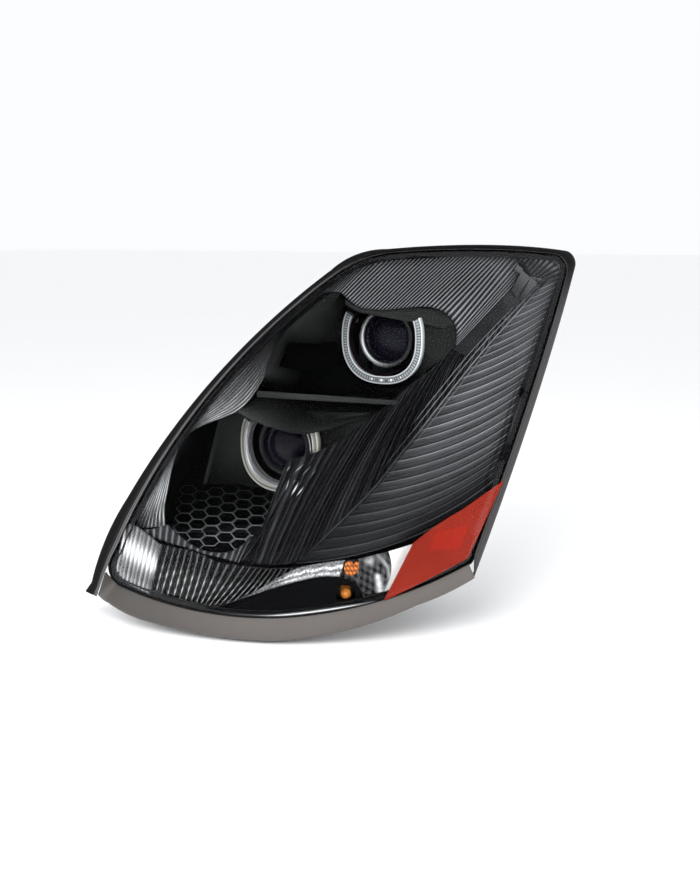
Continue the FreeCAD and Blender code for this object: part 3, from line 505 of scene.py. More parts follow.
PLATED = surface("fluted_chrome", (0.002, 0.002, 0.0025), (0.95, 0.955, 0.97), (0.18, 0.28),
                 metal=0.8, cloud=90, relief=0.03, toned=True, specular=0.2)
# A painted reflection of the amber bulb in the chrome, with a glow of painted light.
GLINT = surface("amber_glint", (0.05, 0.004, 0.001), (1.0, 0.30, 0.05), (0.12, 0.25), cloud=420,
                metal=0.3, relief=0.3, grain=500, toned=True, glow=0.25)
# Near black: on the turn-signal leaf it is painted shade for the dark opening.
GLOSS_BLACK = surface("gloss_black", (0.0006, 0.0006, 0.0008), (0.0016, 0.0016, 0.002),
                      (0.35, 0.45), specular=0.02)
# Near black: on the upper ring's inner wall it is painted shade in the gap inside the ring.
MAROON = surface("dark_wall", (0.001, 0.0005, 0.0008), (0.006, 0.0035, 0.005), (0.4, 0.5),
                 specular=0.05)
BLACK = surface("black_plastic", (0.012, 0.012, 0.013), (0.028, 0.028, 0.03), (0.45, 0.6),
                grain=1800, relief=0.35)
# A darker copy of the black plastic for the projector holders inside the lamp: painted shade.
INNER_BLACK = surface("housing_black", (0.0015, 0.0015, 0.0018), (0.004, 0.004, 0.0045),
                      (0.55, 0.7), grain=1200, relief=0.3, specular=0.06)
GUIDE = surface("light_guide", (0.03, 0.033, 0.036), (0.66, 0.69, 0.71), (0.2, 0.3), cloud=500,
                toned=True, specular=0.2)
BOARD = surface("circuit_board", (0.03, 0.025, 0.018), (0.52, 0.49, 0.42), (0.4, 0.55), cloud=900,
                grain=900, relief=0.5, specular=0.2)
WARM = surface("ring_edge", (0.02, 0.018, 0.014), (0.42, 0.41, 0.37), (0.3, 0.4), cloud=700,
               toned=True, specular=0.2)
LAMP = surface("small_lamp", (0.75, 0.75, 0.72), (0.95, 0.95, 0.93), (0.2, 0.3), cloud=300)
# Opaque and near black: the projector lenses' darkness is painted shade for the dark inside seen
# through the glass.
OPTIC = surface("dark_optic", (0.0012, 0.0012, 0.0025), (0.006, 0.0055, 0.011), (0.14, 0.2),
                relief=0.0, cloud=30, specular=0.12)
RETAINER = surface("dark_retainer", (0.003, 0.003, 0.0035), (0.010, 0.010, 0.011), (0.3, 0.4),
                   specular=0.15)
BOWL = surface("bowl", (0.60, 0.60, 0.61), (0.85, 0.85, 0.86), (0.10, 0.2), metal=1.0)
BULB = surface("bulb", (0.55, 0.38, 0.18), (0.95, 0.80, 0.52), (0.12, 0.25), cloud=160, coat=0.6)
# The amber bulbs are not lit; their glow is painted light.
AMBER = surface("amber_bulb", (0.12, 0.012, 0.001), (1.0, 0.36, 0.05), (0.08, 0.2), cloud=300,
                coat=0.6, glow=0.3)
REFLEX_RED = prismatic("red_reflex", (0.13, 0.007, 0.004), (0.24, 0.020, 0.010), 0.0022, 0.62)
REFLEX_DARK = prismatic("reflex_patch", (0.17, 0.007, 0.004), (0.30, 0.018, 0.009), 0.0022, 0.62)
# Its glow is painted light on the pale marker plate.
PALE = surface("pale_reflector", (0.80, 0.79, 0.78), (0.95, 0.945, 0.94), (0.2, 0.35), metal=0.2,
               cloud=30, glow=0.1)
STEEL = surface("zinc_steel", (0.38, 0.38, 0.37), (0.62, 0.62, 0.60), (0.25, 0.4), metal=1.0,
                cloud=200, grain=1200, relief=0.2)
NYLON = surface("nylon", (0.55, 0.53, 0.46), (0.74, 0.72, 0.64), (0.4, 0.5), cloud=60)
# Faces that look into the lamp keep a near-black copy of the housing's black, painted shade for the
# inside; faces turned to the back take the lighter pair.
HOUSING = surface("housing_plastic", (0.0015, 0.0015, 0.0018), (0.0024, 0.0024, 0.0029),
                  (0.5, 0.65), grain=1200, relief=0.3, cloud=60, specular=0.08,
                  behind=((0.018, 0.018, 0.019), (0.0288, 0.0288, 0.0304)))
SEALANT = surface("sealant", (0.003, 0.003, 0.003), (0.008, 0.008, 0.008), (0.6, 0.7), cloud=200,
                  relief=0.4, specular=0.05)


def carry_over():
    """Gives every CAD node a material, from a table keyed by the node's name."""
    by_node = {
        "housing": HOUSING, "lens_cover": CLEAR_LENS, "lens_seal": SEALANT,
        "edge_gasket": RUBBER, "lower_trim": TRIM, "fluted_bezel": SMOKED, "upper_bezel": GREY,
        "lower_bezel": GREY, "centre_shelf": GREY, "upper_visor": GREY, "lower_visor": GREY,
        "side_panel": GREY, "turn_reflector": CHROME, "marker_reflector": PALE,
        "signal_shroud": GLOSS_BLACK, "side_reflex": REFLEX_RED, "reflex_insert": REFLEX_DARK,
        "honeycomb_grille": SILVER, "upper_light_ring": GUIDE, "lower_light_ring": GUIDE,
        "upper_ring_board": BOARD, "lower_ring_board": BOARD, "upper_ring_reflector": MAROON,
        "lower_ring_reflector": CHROME, "cutoff_shield": STEEL, "aim_frame": BLACK,
        "pivot_stud": STEEL, "pivot_socket": NYLON, "harness_inlet": BLACK, "inlet_pins": STEEL,
        "mounting_studs": STEEL}
    for beam in ("low", "high"):
        by_node.update({
            beam + "_beam_lens": OPTIC, beam + "_beam_retainer": RETAINER,
            beam + "_beam_holder": INNER_BLACK, beam + "_beam_reflector": BOWL,
            beam + "_beam_bulb": BULB, beam + "_beam_screws": STEEL,
            beam + "_beam_cap": BLACK, beam + "_beam_cap_seal": RUBBER})
    for side in ("height", "side"):
        by_node.update({side + "_adjuster_rod": STEEL, side + "_adjuster_knob": NYLON,
                        side + "_adjuster_bush": NYLON})
    for small in ("turn", "marker"):
        by_node.update({small + "_socket": BLACK, small + "_socket_seal": RUBBER,
                        small + "_bulb": AMBER})
    for name, thing in NODES.items():
        thing.data.materials.clear()
        thing.data.materials.append(by_node[name])


# ---------------------------------------------------------------- glass and outer trim

def lens_cover():
    """The clear cover: a domed front with a rounded edge and a leg into the housing."""
    edge = outline(LENS_EDGE, 5)
    levels = [(-2.4, 0.0), (-1.0, 0.25), (-0.25, 1.0), (0, 2.4), (0, 16), (-3, 16), (-3, 4.2),
              (-3.9, 3.0)]
    flat_front, faces_front = filled([offset(edge, levels[0][0])], 14)
    flat_back, faces_back = filled([offset(edge, levels[-1][0])], 14)
    count = len(edge)
    points, faces = [], []
    for amount, back in levels:
        ring = offset(edge, amount)
        points.append(on_dome(ring, back))
    faces += grid_faces(len(levels), count, wrap=True)
    for flat, made, back, flip in ((flat_front, faces_front, 0.0, False),
                                   (flat_back, faces_back, 3.0, True)):
        start = sum(len(p) for p in points)
        points.append(on_dome(flat, back))
        faces += [tuple(i + start for i in (f[::-1] if flip else f)) for f in made]
    piece("clear_cover", face(np.concatenate(points)), faces, CLEAR_LENS, nodes=("lens_cover",),
          slot="clear_lens", angle=50)


def matched(outer, inner):
    """For each point of the outer line, a point of the inner line that never steps back."""
    found, last = [], 0
    for p in outer:
        ahead = inner[last:last + 60]
        last += int(np.argmin(((ahead - p) ** 2).sum(1)))
        found.append(inner[last])
    found = np.array(found)
    for _ in range(6):
        found[1:-1] = (found[:-2] + found[1:-1] * 2 + found[2:]) / 4
    return found


def band(name, outer, inner, crown, material, nodes, slot, deep, tone=None):
    """A strip between two lines with a crowned or grooved front, given as (across, set back)."""
    sections, tones = [], []
    for o, i in zip(outer, inner):
        row = []
        for across, back in crown:
            p = i + (o - i) * across
            row.append((p[0], p[1], float(dome(p[0], p[1], back))))
        for p, back in ((o, deep), (o + (i - o) * 0.12, deep), (o + (i - o) * 0.12, deep - 12),
                        (i + (o - i) * 0.1, deep - 16)):
            row.append((p[0], p[1], float(dome(p[0], p[1], back))))
        sections.append(row)
        if tone:
            # The four return rows get a low tone: painted shade behind the strip.
            tones += list(tone(len(sections) / len(outer))) + [0.05] * 4
    swept(name, np.array(sections), material, nodes=nodes, slot=slot, angle=50,
          tone=tones or None)


def edge_gasket():
    """Black extruded rubber round the left, top and right of the glass, with fine grooves."""
    outer = smooth(outline(GASKET_EDGE, 4, closed=False), np.linspace(0, 1, 360))
    ring = offset(outline(LENS_EDGE, 2), 0.6)
    start = int(np.argmin(((ring - (-302, -166)) ** 2).sum(1)))
    ring = np.roll(ring, -start, 0)
    stop = int(np.argmin(((ring - (193, -154)) ** 2).sum(1)))
    tail = np.array(straight((-328, -213), (-314, -178), 2)
                    + straight((-314, -178), tuple(ring[0]), 2))
    inner = np.concatenate((tail, ring[:stop], np.array([(195, -172)])))
    crown = [(0.0, 8.6), (0.03, 7.6), (0.09, 7.4), (0.13, 8.2), (0.19, 7.3), (0.25, 7.2),
             (0.30, 8.1), (0.36, 7.1), (0.46, 6.3), (0.62, 6.0), (0.8, 6.4), (0.92, 7.4),
             (1.0, 9.4)]
    # Painted highlights and shade across the crown, from the outer edge in, on each side of the
    # lamp, since each side catches the light differently.
    left = np.array([0.1, 0.5, 0.65, 0.2, 0.5, 0.35, 0.05, 0.08, 0.03, 0.02, 0.02, 0.02, 0.02])
    top = np.array([0.25, 0.3, 0.05, 0.03, 0.03, 0.02, 0.02, 0.03, 0.02, 0.02, 0.02, 0.02, 0.02])
    right = np.array([0.15, 0.12, 0.3, 0.35, 0.38, 0.15, 0.18, 0.42, 0.22, 0.24, 0.3, 0.3, 0.34])

    def tone(at):
        over, down = ease((at - 0.36) / 0.08), ease((at - 0.66) / 0.08)
        return (left * (1 - over) + top * over) * (1 - down) + right * down
    band("rubber_gasket", outer, matched(outer, inner), crown, RAIL, ("edge_gasket",),
         "black_rubber", 28, tone)


def lower_trim():
    """The satin trim under the glass, gently crowned, with a return behind it."""
    outer = smooth(outline(TRIM_EDGE, 4, closed=False), np.linspace(0, 1, 260))
    ring = offset(outline(LENS_EDGE, 2), 1.2)[::-1]
    start = int(np.argmin(((ring - (-304, -178)) ** 2).sum(1)))
    ring = np.roll(ring, -start, 0)
    stop = int(np.argmin(((ring - (193, -156)) ** 2).sum(1)))
    tail = np.array(straight((-312, -177), tuple(ring[0]), 2))
    inner = np.concatenate((tail, ring[:stop], np.array([(196, -158)])))
    crown = [(0.0, 9.4), (0.03, 7.6), (0.08, 6.9), (0.3, 6.6), (0.6, 7.0), (0.85, 8.2),
             (0.94, 9.6), (1.0, 12.5)]

    # The tone is painted light: dark at the left end of the trim and lighter to the right, with a
    # painted highlight at the fold near the left end and painted shade on both edges of the crown.
    def tone(at):
        fold_highlight = 0.25 * math.exp(-((at - 0.075) / 0.012) ** 2)
        light = 0.16 + 0.30 * ease(at / 0.16) + 0.40 * ease((at - 0.1) / 0.4) + fold_highlight
        return [light * 0.6] + [light] * 6 + [light * 0.75]
    band("satin_trim", outer, matched(outer, inner), crown, TRIM, ("lower_trim",), "satin_trim", 29,
         tone)


# ---------------------------------------------------------------- fluted bezel

# How far the bezel lies behind the glass, and how thick its moulding is.
BEZEL_BACK = 20.0
SHEET = 2.0


def ruled(name, pairs, count, shape, depth, bows=(0.0, 0.0), rows=26, shade=None, uneven=0.0,
          material=None, nodes=(), back=BEZEL_BACK, fade=0.04, slot="dark_chrome", warp=1.0):
    """Flutes that run from one curve to another. pairs holds matching points of the curves,
    shape one flute as (place, height, tone), bows how far the flutes curve from the first pair
    to the last, and a warp over 1 makes the flutes wider towards the last pair."""
    one, two = np.array([p[0] for p in pairs], float), np.array([p[1] for p in pairs], float)
    gaps = (np.linalg.norm(np.diff(one, axis=0), axis=1)
            + np.linalg.norm(np.diff(two, axis=0), axis=1))
    knots = np.concatenate(([0], np.cumsum(gaps))) / gaps.sum()
    index = np.repeat(np.arange(count), len(shape))
    place = np.tile([s[0] for s in shape], count)
    height = np.tile([s[1] for s in shape], count)
    tones = np.tile([s[2] for s in shape], count)
    if uneven:
        height = height * (1 - uneven * hashed(index, 1))
        tones = tones * (1 - uneven * hashed(index, 2))
        shift = (hashed(index, 3) - 0.5) * uneven * 0.7
        place = np.where(place > 0, np.clip(place + shift, 0.08, 0.94), place)
    at = np.append((index + place) / count, 1.0) ** warp
    height, tones = np.append(height, height[0]), np.append(tones, tones[0])
    a, b = smooth(one, at, knots), smooth(two, at, knots)
    s = np.linspace(0, 1, rows)[:, None, None]
    run = b - a
    side = np.stack((-run[:, 1], run[:, 0]), 1)
    bend = np.interp(at, np.linspace(0, 1, len(bows)), bows)[:, None]
    flat = a[None] * (1 - s) + b[None] * s + side[None] * bend[None] * 4 * s * (1 - s)
    ends = ease(np.minimum(s, 1 - s) / fade)[:, :, 0]
    u, v = flat[..., 0], flat[..., 1]
    front = np.stack((u, v, dome(u, v, back + depth) + height[None] * depth * ends), 2)
    # The flute tones paint highlights on the ridges and shade in the grooves; painted shade grows
    # towards both ends of the flutes, and shade scales it all with painted light and shade across
    # the zone.
    tone = np.tile(tones[None], (rows, 1)) * (0.4 + 0.6 * ends)
    if shade:
        tone = tone * shade(u, v, s[:, :, 0], at[None])
    slab(name, front, on_dome(flat, back + depth + SHEET), material or SMOKED, tone, nodes=nodes,
         slot=slot)


# One flute of each kind, as (place across it, height, tone); the tone is a painted highlight on the
# ridges and painted shade in the grooves.
STEPPED = [(0.0, 1.0, 1.0), (0.03, 0.95, 0.85), (0.06, 0.85, 0.25), (0.11, 0.0, 0.04),
           (0.22, 0.1, 0.11), (0.45, 0.3, 0.17), (0.48, 0.5, 0.50), (0.51, 0.3, 0.09),
           (0.78, 0.6, 0.17), (0.97, 0.92, 0.23)]
FINE = [(0.0, 0.0, 0.02), (0.22, 0.1, 0.03), (0.40, 0.9, 0.85), (0.55, 1.0, 1.0), (0.70, 0.7, 0.22)]
STREAK = [(0.0, 0.9, 1.0), (0.05, 0.6, 0.55), (0.11, 0.05, 0.04), (0.45, 0.0, 0.02),
          (0.62, 0.35, 0.13), (0.80, 0.7, 0.22), (0.94, 1.0, 0.42)]


def right_zone():
    """Stepped flutes that sweep from the crease to the right-hand edge."""
    pairs = [((-45, -157), (236, -50)), ((-28, -142), (233, -42)), ((-14, -129), (231, -35)),
             ((0, -115), (232, -28)), ((57, -58), (248, 13)), ((93, -13), (259, 54)),
             ((120, 19), (269, 83)), ((148, 54), (283, 113)), ((206, 124), (307, 177)),
             ((269, 191), (326, 221)), ((317, 240), (340, 252))]

    def shade(u, v, s, at):
        rim = ease((s - 0.84) / 0.1)
        dots = 0.65 + 0.35 * np.sin(s * 260) * rim
        glow = 0.20 + 0.80 * ease((v + 140) / 220)
        start = 0.55 + 0.45 * ease((s - 0.02) / 0.25)
        return glow * start * (0.86 + 0.14 * np.sin(at * 61)) * dots / 0.65 * (1 - 0.25 * rim)
    ruled("bezel_right", pairs, 27, STEPPED, 2.8,
          bows=(-0.078, -0.062, -0.048, -0.035, -0.02, -0.02), shade=shade,
          nodes=("fluted_bezel",), rows=60)


def top_zone():
    """Fine parallel flutes over the top of the window."""
    pairs = [((-75, 163), (-62, 176)), ((-30, 194), (-4, 221)), ((9, 206), (48, 248)),
             ((30, 191), (92, 255)), ((44, 184), (118, 259)), ((74, 182), (157, 263.5)),
             ((105, 186), (190, 267)), ((133, 188), (216, 270)), ((157, 181), (244, 272)),
             ((170, 166), (260, 272)), ((173, 149), (270, 258)), ((169, 131), (262, 227))]

    def shade(u, v, s, at):
        right = ease((u - 60) / 120)
        far = ease((s - 0.78) / 0.2) * ease((u - 170) / 60)
        return (0.44 + 0.16 * right * ease((230 - v) / 60)) * (1 - 0.55 * far)
    ruled("bezel_top", pairs, 72, FINE, 1.6, shade=shade, rows=22, warp=1.35, fade=0.02)


def lower_zone():
    """Long uneven streaks from the window down to the crease."""
    pairs = [((-105, -123), (-128, -151)), ((-77, -97), (-122, -153)), ((-59, -77), (-116, -155)),
             ((-54, -53), (-111, -157)), ((-57, -21), (-105, -158)), ((-36, -15), (-96, -159)),
             ((-13, -7), (-84, -159)), ((13, 7), (-71, -159)), ((50, 33), (-52, -157)),
             ((80, 57), (-30, -144)), ((102, 75), (2, -113)), ((135, 101), (48, -67)),
             ((169, 132), (93, -13)), ((207, 170), (148, 54)), ((256, 219), (215, 132)),
             ((286, 243), (314, 240))]

    def shade(u, v, s, at):
        upper = ease((u + v - 90) / 260)
        broken = 0.75 + 0.25 * np.sin(s * 23 + np.floor(at * 52) * 2.3)
        return (0.13 + 0.36 * upper) * broken
    ruled("bezel_lower", pairs, 52, STREAK, 3.4, shade=shade, uneven=0.7, rows=60,
          bows=(0.0, -0.03, -0.03, 0.0))


def bright_chips():
    """Slanted chips, bright with painted highlight, where the lower streaks begin, beside the lower
    ring.
    """
    chips = [((-59, -62), (-53, -43), 2.2), ((-53, -70), (-40, -47), 3.0),
             ((-46, -70), (-33, -53), 2.6), ((-58, -36), (-52, -27), 2.0),
             ((-49, -38), (-33, -24), 2.2), ((-38, -41), (-24, -27), 1.6),
             ((-27, -45), (-17, -30), 1.2), ((-50, -55), (-45, -42), 1.4)]
    for number, (low, high, wide) in enumerate(chips):
        low, high = np.array(low, float), np.array(high, float)
        t = np.linspace(0, 1, 15)
        path = low + (high - low) * t[:, None]
        side = np.array((low[1] - high[1], high[0] - low[0])) / np.linalg.norm(high - low)
        rows = []
        for across, up in ((-1, -1.5), (-0.5, 0.6), (0, 1.2), (0.6, 0.4), (1, -1.5)):
            p = path + side * (across * wide * (0.15 + np.sin(t * math.pi)) / 2)[:, None]
            rows.append(on_dome(p, BEZEL_BACK - 0.8 - up))
        light = (0.25 + 0.75 * np.sin(t * math.pi))[:, None] * np.array([0.1, 0.6, 1, 0.9, 0.2])
        swept("bezel_chip_%d" % number, np.stack(rows, 1), PLATED, slot="dark_chrome",
              tone=light.ravel())


def crease_lines():
    """The ridges between the lower streaks and the right-hand flutes, bright with painted
    highlight.
    """
    line = [(-30, -144), (0, -115), (57, -58), (93, -13), (120, 19), (148, 54), (206, 124),
            (269, 191), (319, 244)]
    count = 110
    for name, shift, first, last, width, rise in (
            ("crease", 0, 0.0, 1.0, 1.1, 3.4), ("crease_beside", 7, 0.28, 1.0, 0.9, 3.0),
            ("crease_third", 13, 0.42, 0.86, 0.8, 2.6), ("crease_below", -5, 0.2, 0.75, 0.7, 2.6)):
        at = np.linspace(first, last, count)
        path = smooth(line, at)
        along = np.gradient(path, axis=0)
        side = np.stack((-along[:, 1], along[:, 0]), 1) / np.linalg.norm(along, axis=1)[:, None]
        place = np.arange(count)
        taper = np.minimum(1, np.minimum(place, place[::-1]) / 8 + 0.08)[:, None]
        path = path + side * shift * (0.55 + 0.45 * np.sin(at * math.pi))[:, None]
        bright = 0.26 + 0.74 * ease((at - 0.36) / 0.15) * ease((0.97 - at) / 0.12)
        rows = []
        for across, up in ((-1, -1.0), (-0.4, rise * 0.8), (0, rise), (0.4, rise * 0.8), (1, -1.0)):
            p = path + side * width * across * taper
            rows.append(on_dome(p, BEZEL_BACK + 2.6 - up))
        tone = bright[:, None] * np.array([0.2, 0.9, 1.0, 0.9, 0.2])[None]
        swept("bezel_" + name, np.stack(rows, 1), BORDER, slot="dark_chrome",
              tone=tone.ravel())


def left_zone():
    """Fine silvery flutes that follow the left edge."""
    outer = [(-296, -118), (-268, -88), (-209, 7), (-144, 88), (-83, 152), (-28, 202), (20, 240)]
    inner = [(-224, -110), (-222, -72), (-196, 10), (-122, 46), (-90, 86), (-62, 148), (7, 209)]
    flutes, steps, rows = 12, 10, 120
    at = np.linspace(0, 1, rows)
    knots = np.linspace(0, 1, len(outer))
    o, i = smooth(outer, at, knots), smooth(inner, at, knots)
    t = np.linspace(0, 1, flutes * steps + 1)
    flat = o[:, None] * (1 - t)[None, :, None] + i[:, None] * t[None, :, None]
    flute, wave = np.divmod(np.arange(len(t)), steps)
    wave = wave / steps
    height = np.where(wave < 0.7, wave / 0.7, (1 - wave) / 0.3)
    line = np.exp(-((wave - 0.7) / 0.13) ** 2)
    own = 0.35 + 0.65 * hashed(flute, 5)
    u, v = flat[..., 0], flat[..., 1]
    front = np.stack((u, v, dome(u, v, BEZEL_BACK + 2) + height[None] * 1.8), 2)
    # Painted highlights: a bright line along each flute's crest, of random strength per flute, over
    # painted light that fades towards the top and the bottom of the zone.
    light = 0.13 + 1.25 * ease((150 - v) / 170) * ease((v + 122) / 62)
    broken = 0.7 + 0.3 * np.sin(at[:, None] * 40 + flute[None] * 1.7)
    tone = (0.20 + (line * own)[None] * 1.3 * broken + 0.12 * height[None]) * light
    slab("bezel_left", front, on_dome(flat, BEZEL_BACK + 4), PLATED, tone, slot="dark_chrome")


def smooth_band():
    """The dark plain band to the right of the fine flutes, with its stepped lighter blocks, which
    carry a painted highlight towards their upper right.
    """
    pairs = [((166, 131), (186, 121)), ((207, 170), (237, 172)), ((240, 205), (278, 207)),
             ((258, 222), (304, 231))]
    ruled("bezel_band", pairs, 3, [(0.0, 0.6, 0.022), (0.5, 0.7, 0.030)], 1.0, rows=10,
          back=BEZEL_BACK - 0.3)
    blocks = [[(257, 219), None, (275, 250), None, (288, 240), None, (263, 209), None],
              [(269, 209), None, (289, 241), None, (299, 234), None, (273, 205), None],
              [(262, 250), None, (268, 258), None, (277, 252), None, (271, 245), None]]
    for number, loop in enumerate(blocks):
        sheet("bezel_block_%d" % number, [outline(loop, 4)],
              lambda u, v: dome(u, v, BEZEL_BACK - 2.6 + number * 0.5),
              lambda u, v: dome(u, v, BEZEL_BACK + 1), SMOKED, spacing=5, slot="dark_chrome",
              tone=lambda u, v: 0.035 + 0.11 * ease((u + v - 480) / 50))


def under_strip():
    """The strip that carries the left flutes on under the window."""
    pairs = [((-270, -117), (-268, -122)), ((-240, -114), (-241, -128)),
             ((-222, -108), (-225, -131)), ((-211, -116), (-214, -134)),
             ((-190, -132), (-192, -139)), ((-168, -142), (-170, -146)),
             ((-143, -144), (-146, -151)), ((-125, -139), (-131, -155)),
             ((-105, -123), (-122, -157))]
    flute = [(0.0, 0.9, 0.9), (0.12, 0.6, 0.3), (0.3, 0.1, 0.06), (0.7, 0.4, 0.14)]
    ruled("bezel_under", pairs, 17, flute, 1.6, rows=12, back=BEZEL_BACK + 0.5,
          shade=lambda u, v, s, at: 0.30 + 0.2 * ease((-215 - u) / 40))


def corner_teeth():
    """Slanted teeth in the top right corner of the bezel."""
    pairs = [((266, 262), (278, 274)), ((279, 262), (291, 275)), ((284, 253), (303, 274.5)),
             ((293, 243), (324, 272)), ((304, 240), (341, 262)), ((313, 237), (347, 252)),
             ((321, 234), (347, 240))]
    tooth = [(0.0, 0.0, 0.02), (0.2, 0.1, 0.04), (0.42, 0.8, 0.45), (0.55, 1.0, 0.85),
             (0.75, 0.6, 0.28), (0.9, 0.2, 0.10)]

    def shade(u, v, s, at):
        return 0.14 + 0.62 * ease((s - 0.5) / 0.4)
    ruled("bezel_corner", pairs, 11, tooth, 2.6, rows=24, shade=shade)


def border():
    """The bezel's return round the zones, out to the channel, with a beaded rim."""
    path = [(-296, -118), (-268, -88), (-209, 7), (-144, 88), (-83, 152), (-28, 202), (20, 238),
            (48, 249), (92, 256), (157, 264.5), (216, 271), (262, 273.5), (300, 275.5), (326, 272),
            (340, 262), (346, 246), (338, 227), (326, 196), (307, 159), (283, 101), (259, 46),
            (243, 3), (232, -32), (228, -46)]
    edge = offset(outline(LENS_EDGE, 2), -7.0)
    count = 640
    inner = smooth(path, np.linspace(0, 1, count))
    start = int(np.argmin(((edge - inner[0]) ** 2).sum(1)))
    edge = np.roll(edge, -start, 0)
    outer = matched(inner, edge)
    bead = np.abs(np.sin(np.arange(count) * 0.42))
    at = np.arange(count) / count
    rows, under = [], []
    for across, up in ((0, -0.6), (0.2, 0.8), (0.45, 1.4), (0.7, 1.9), (0.85, 2.6), (1, 1.2)):
        p = inner + (outer - inner) * across
        lift = up + (0.9 * bead if 0.6 < across < 0.9 else 0)
        rows.append(np.column_stack((p, dome(p[:, 0], p[:, 1], BEZEL_BACK + 2) + lift)))
        under.append(on_dome(p, BEZEL_BACK + 4.5))
    # Painted light: brighter on the right-hand part, with a painted highlight on each bead of the
    # rim.
    right = ease((at - 0.62) / 0.06)
    plain = 0.10 + 0.08 * right
    tone = np.stack([0.5 * plain, plain, plain, plain * 0.9, (0.10 + 0.5 * bead) * (0.4 + right),
                     0.05 + 0 * bead], 1)
    slab("bezel_border", np.stack(rows, 1), np.stack(under, 1), BORDER, tone, slot="dark_chrome")


# ---------------------------------------------------------------- window surround

def beam_circle(middle, radius, y, step=4.0):
    """A circle across the beam as a face-frame loop."""
    count = int(2 * math.pi * radius / step)
    loop = []
    for i in range(count):
        a = 2 * math.pi * i / count
        p = np.array((middle[0] + radius * math.cos(a), y, middle[2] + radius * math.sin(a)))
        loop.append((AXES.T @ p)[:2])
    return np.array(loop)


def upper_bowl():
    """The matte bowl round the upper ring, with the slot on its left."""
    rim = smooth([(-98, 77), (-94, 79), (-88, 101), (-69, 138), (-45, 168), (-22, 191), (9, 205),
                  (30, 190), (44, 184), (74, 182), (105, 186), (133, 187), (157, 180), (168, 168),
                  (172, 149), (167, 131), (135, 104), (102, 77)], np.linspace(0, 1, 150))
    low = np.array(straight(tuple(rim[-1]), (88, 65), 4) + straight((88, 65), (-98, 77), 4))
    loop = np.concatenate((rim, low))
    y = LOW[1] + PLATE_BEHIND
    hole = beam_circle(LOW, PLATE_OPENING, y)
    slot = outline([(-57, 139), None, (8, 149), None, (18, 113), None, (-70, 107), None], 4)
    centre = hole.mean(0)

    def front(u, v):
        p = np.stack((u, v), 1)
        out = nearest(p, rim)
        away = np.hypot(u - centre[0], v - centre[1])
        plane = np.minimum(beam_plane(u, v, y), dome(u, v, 26))
        share = np.maximum(ease(out / 45), ease((84 - away) / 16))
        return dome(u, v, 23) * (1 - share) + plane * share

    # Painted light on the bowl: lighter on the upper right, a painted highlight on the crest and on
    # the left part, and a painted highlight along the fold below the slot.
    def tone(u, v):
        right = ease((u - 60) / 60) * 0.28
        crest = 0.42 * np.exp(-((u + 28) / 42) ** 2) * ease((v - 132) / 30)
        left = 0.34 * ease((-52 - u) / 30) * ease((v - 84) / 12)
        fold_highlight = 0.24 * ease((-25 - u) / 45) * np.exp(-((v - 99) / 6.5) ** 2)
        return 0.01 + right * ease((v - 84) / 40) + crest + left + fold_highlight
    sheet("upper_bowl", [loop, hole, slot], front, lambda u, v: front(u, v) - 2.5, GREY,
          spacing=4, tone=tone, nodes=("upper_bezel",), slot="grey_bezel")


def upper_visor():
    """The eyebrow that comes forward over the upper ring."""
    top = smooth([(20, 197), (30, 189.5), (44, 183.5), (74, 181.5), (105, 185.5), (133, 186.5),
                  (157, 179.5), (170, 166)], np.linspace(0, 1, 80))
    low = smooth([(21, 189), (36, 180), (52, 176), (78, 171.5), (108, 167), (134, 163),
                  (154, 159.5), (170, 164)], np.linspace(0, 1, 80))
    crown = [(0.0, 22.0), (0.15, 20.2), (0.45, 19.0), (0.8, 19.4), (1.0, 21.0), (1.0, 27),
             (0.9, 28), (0.0, 25)]
    # Painted light on the eyebrow: brighter towards its lower edge, with painted shade on its back
    # rows.
    tone = np.tile([0.20, 0.30, 0.40, 0.40, 0.55, 0.02, 0.02, 0.02], 80)
    swept("upper_brow", crowned(top, low, crown), GREY, nodes=("upper_visor",), slot="grey_bezel",
          angle=60, tone=tone)


def shelf():
    """The ridge between the two windows, with a painted highlight, paler at its left end."""
    loop = outline([(-97, 72), None, (91, 59), None, (88, 53), None, (-97, 64), None], 4)
    sheet("centre_ridge", [loop], lambda u, v: dome(u, v, 22), lambda u, v: dome(u, v, 58), GREY,
          spacing=6, tone=lambda u, v: 0.42 + 0.16 * ease((u + 90) / 60) - 0.12 * ease(u / 90),
          nodes=("centre_shelf",), slot="grey_bezel")


def lower_visor():
    """The hood over the lower ring: hollow under the ridge, proud at its lower edge."""
    count = 70
    at = np.linspace(0, 1, count)
    top = smooth([(-99, 64), (-60, 62), (0, 58), (50, 55), (88, 52)], at)
    low = smooth([(-124, 44), (-112, 37), (-87, 26), (-60, 18), (-29, 15), (17, 27), (50, 40)], at)
    crown = [(0.0, 36.0), (0.12, 37), (0.35, 35), (0.6, 29), (0.8, 23), (0.93, 19.0), (1.0, 19.5),
             (1.0, 30), (0.9, 31), (0.6, 34), (0.3, 41), (0.0, 42)]
    # Painted shade in the hollow under the ridge, rising to a painted highlight at the lower edge
    # and lighter towards the left; the back rows get painted shade.
    tones = np.array([0.0, 0.0, 0.03, 0.14, 0.30, 0.42, 0.34])
    left = ease((0.42 - at) / 0.4)
    tone = []
    for share in left:
        tone += list(tones * (0.55 + 0.9 * share) + 0.10 * share) + [0.05] * 5
    swept("lower_hood", crowned(top, low, crown), GREY, nodes=("lower_visor",), slot="grey_bezel",
          angle=60, tone=tone)


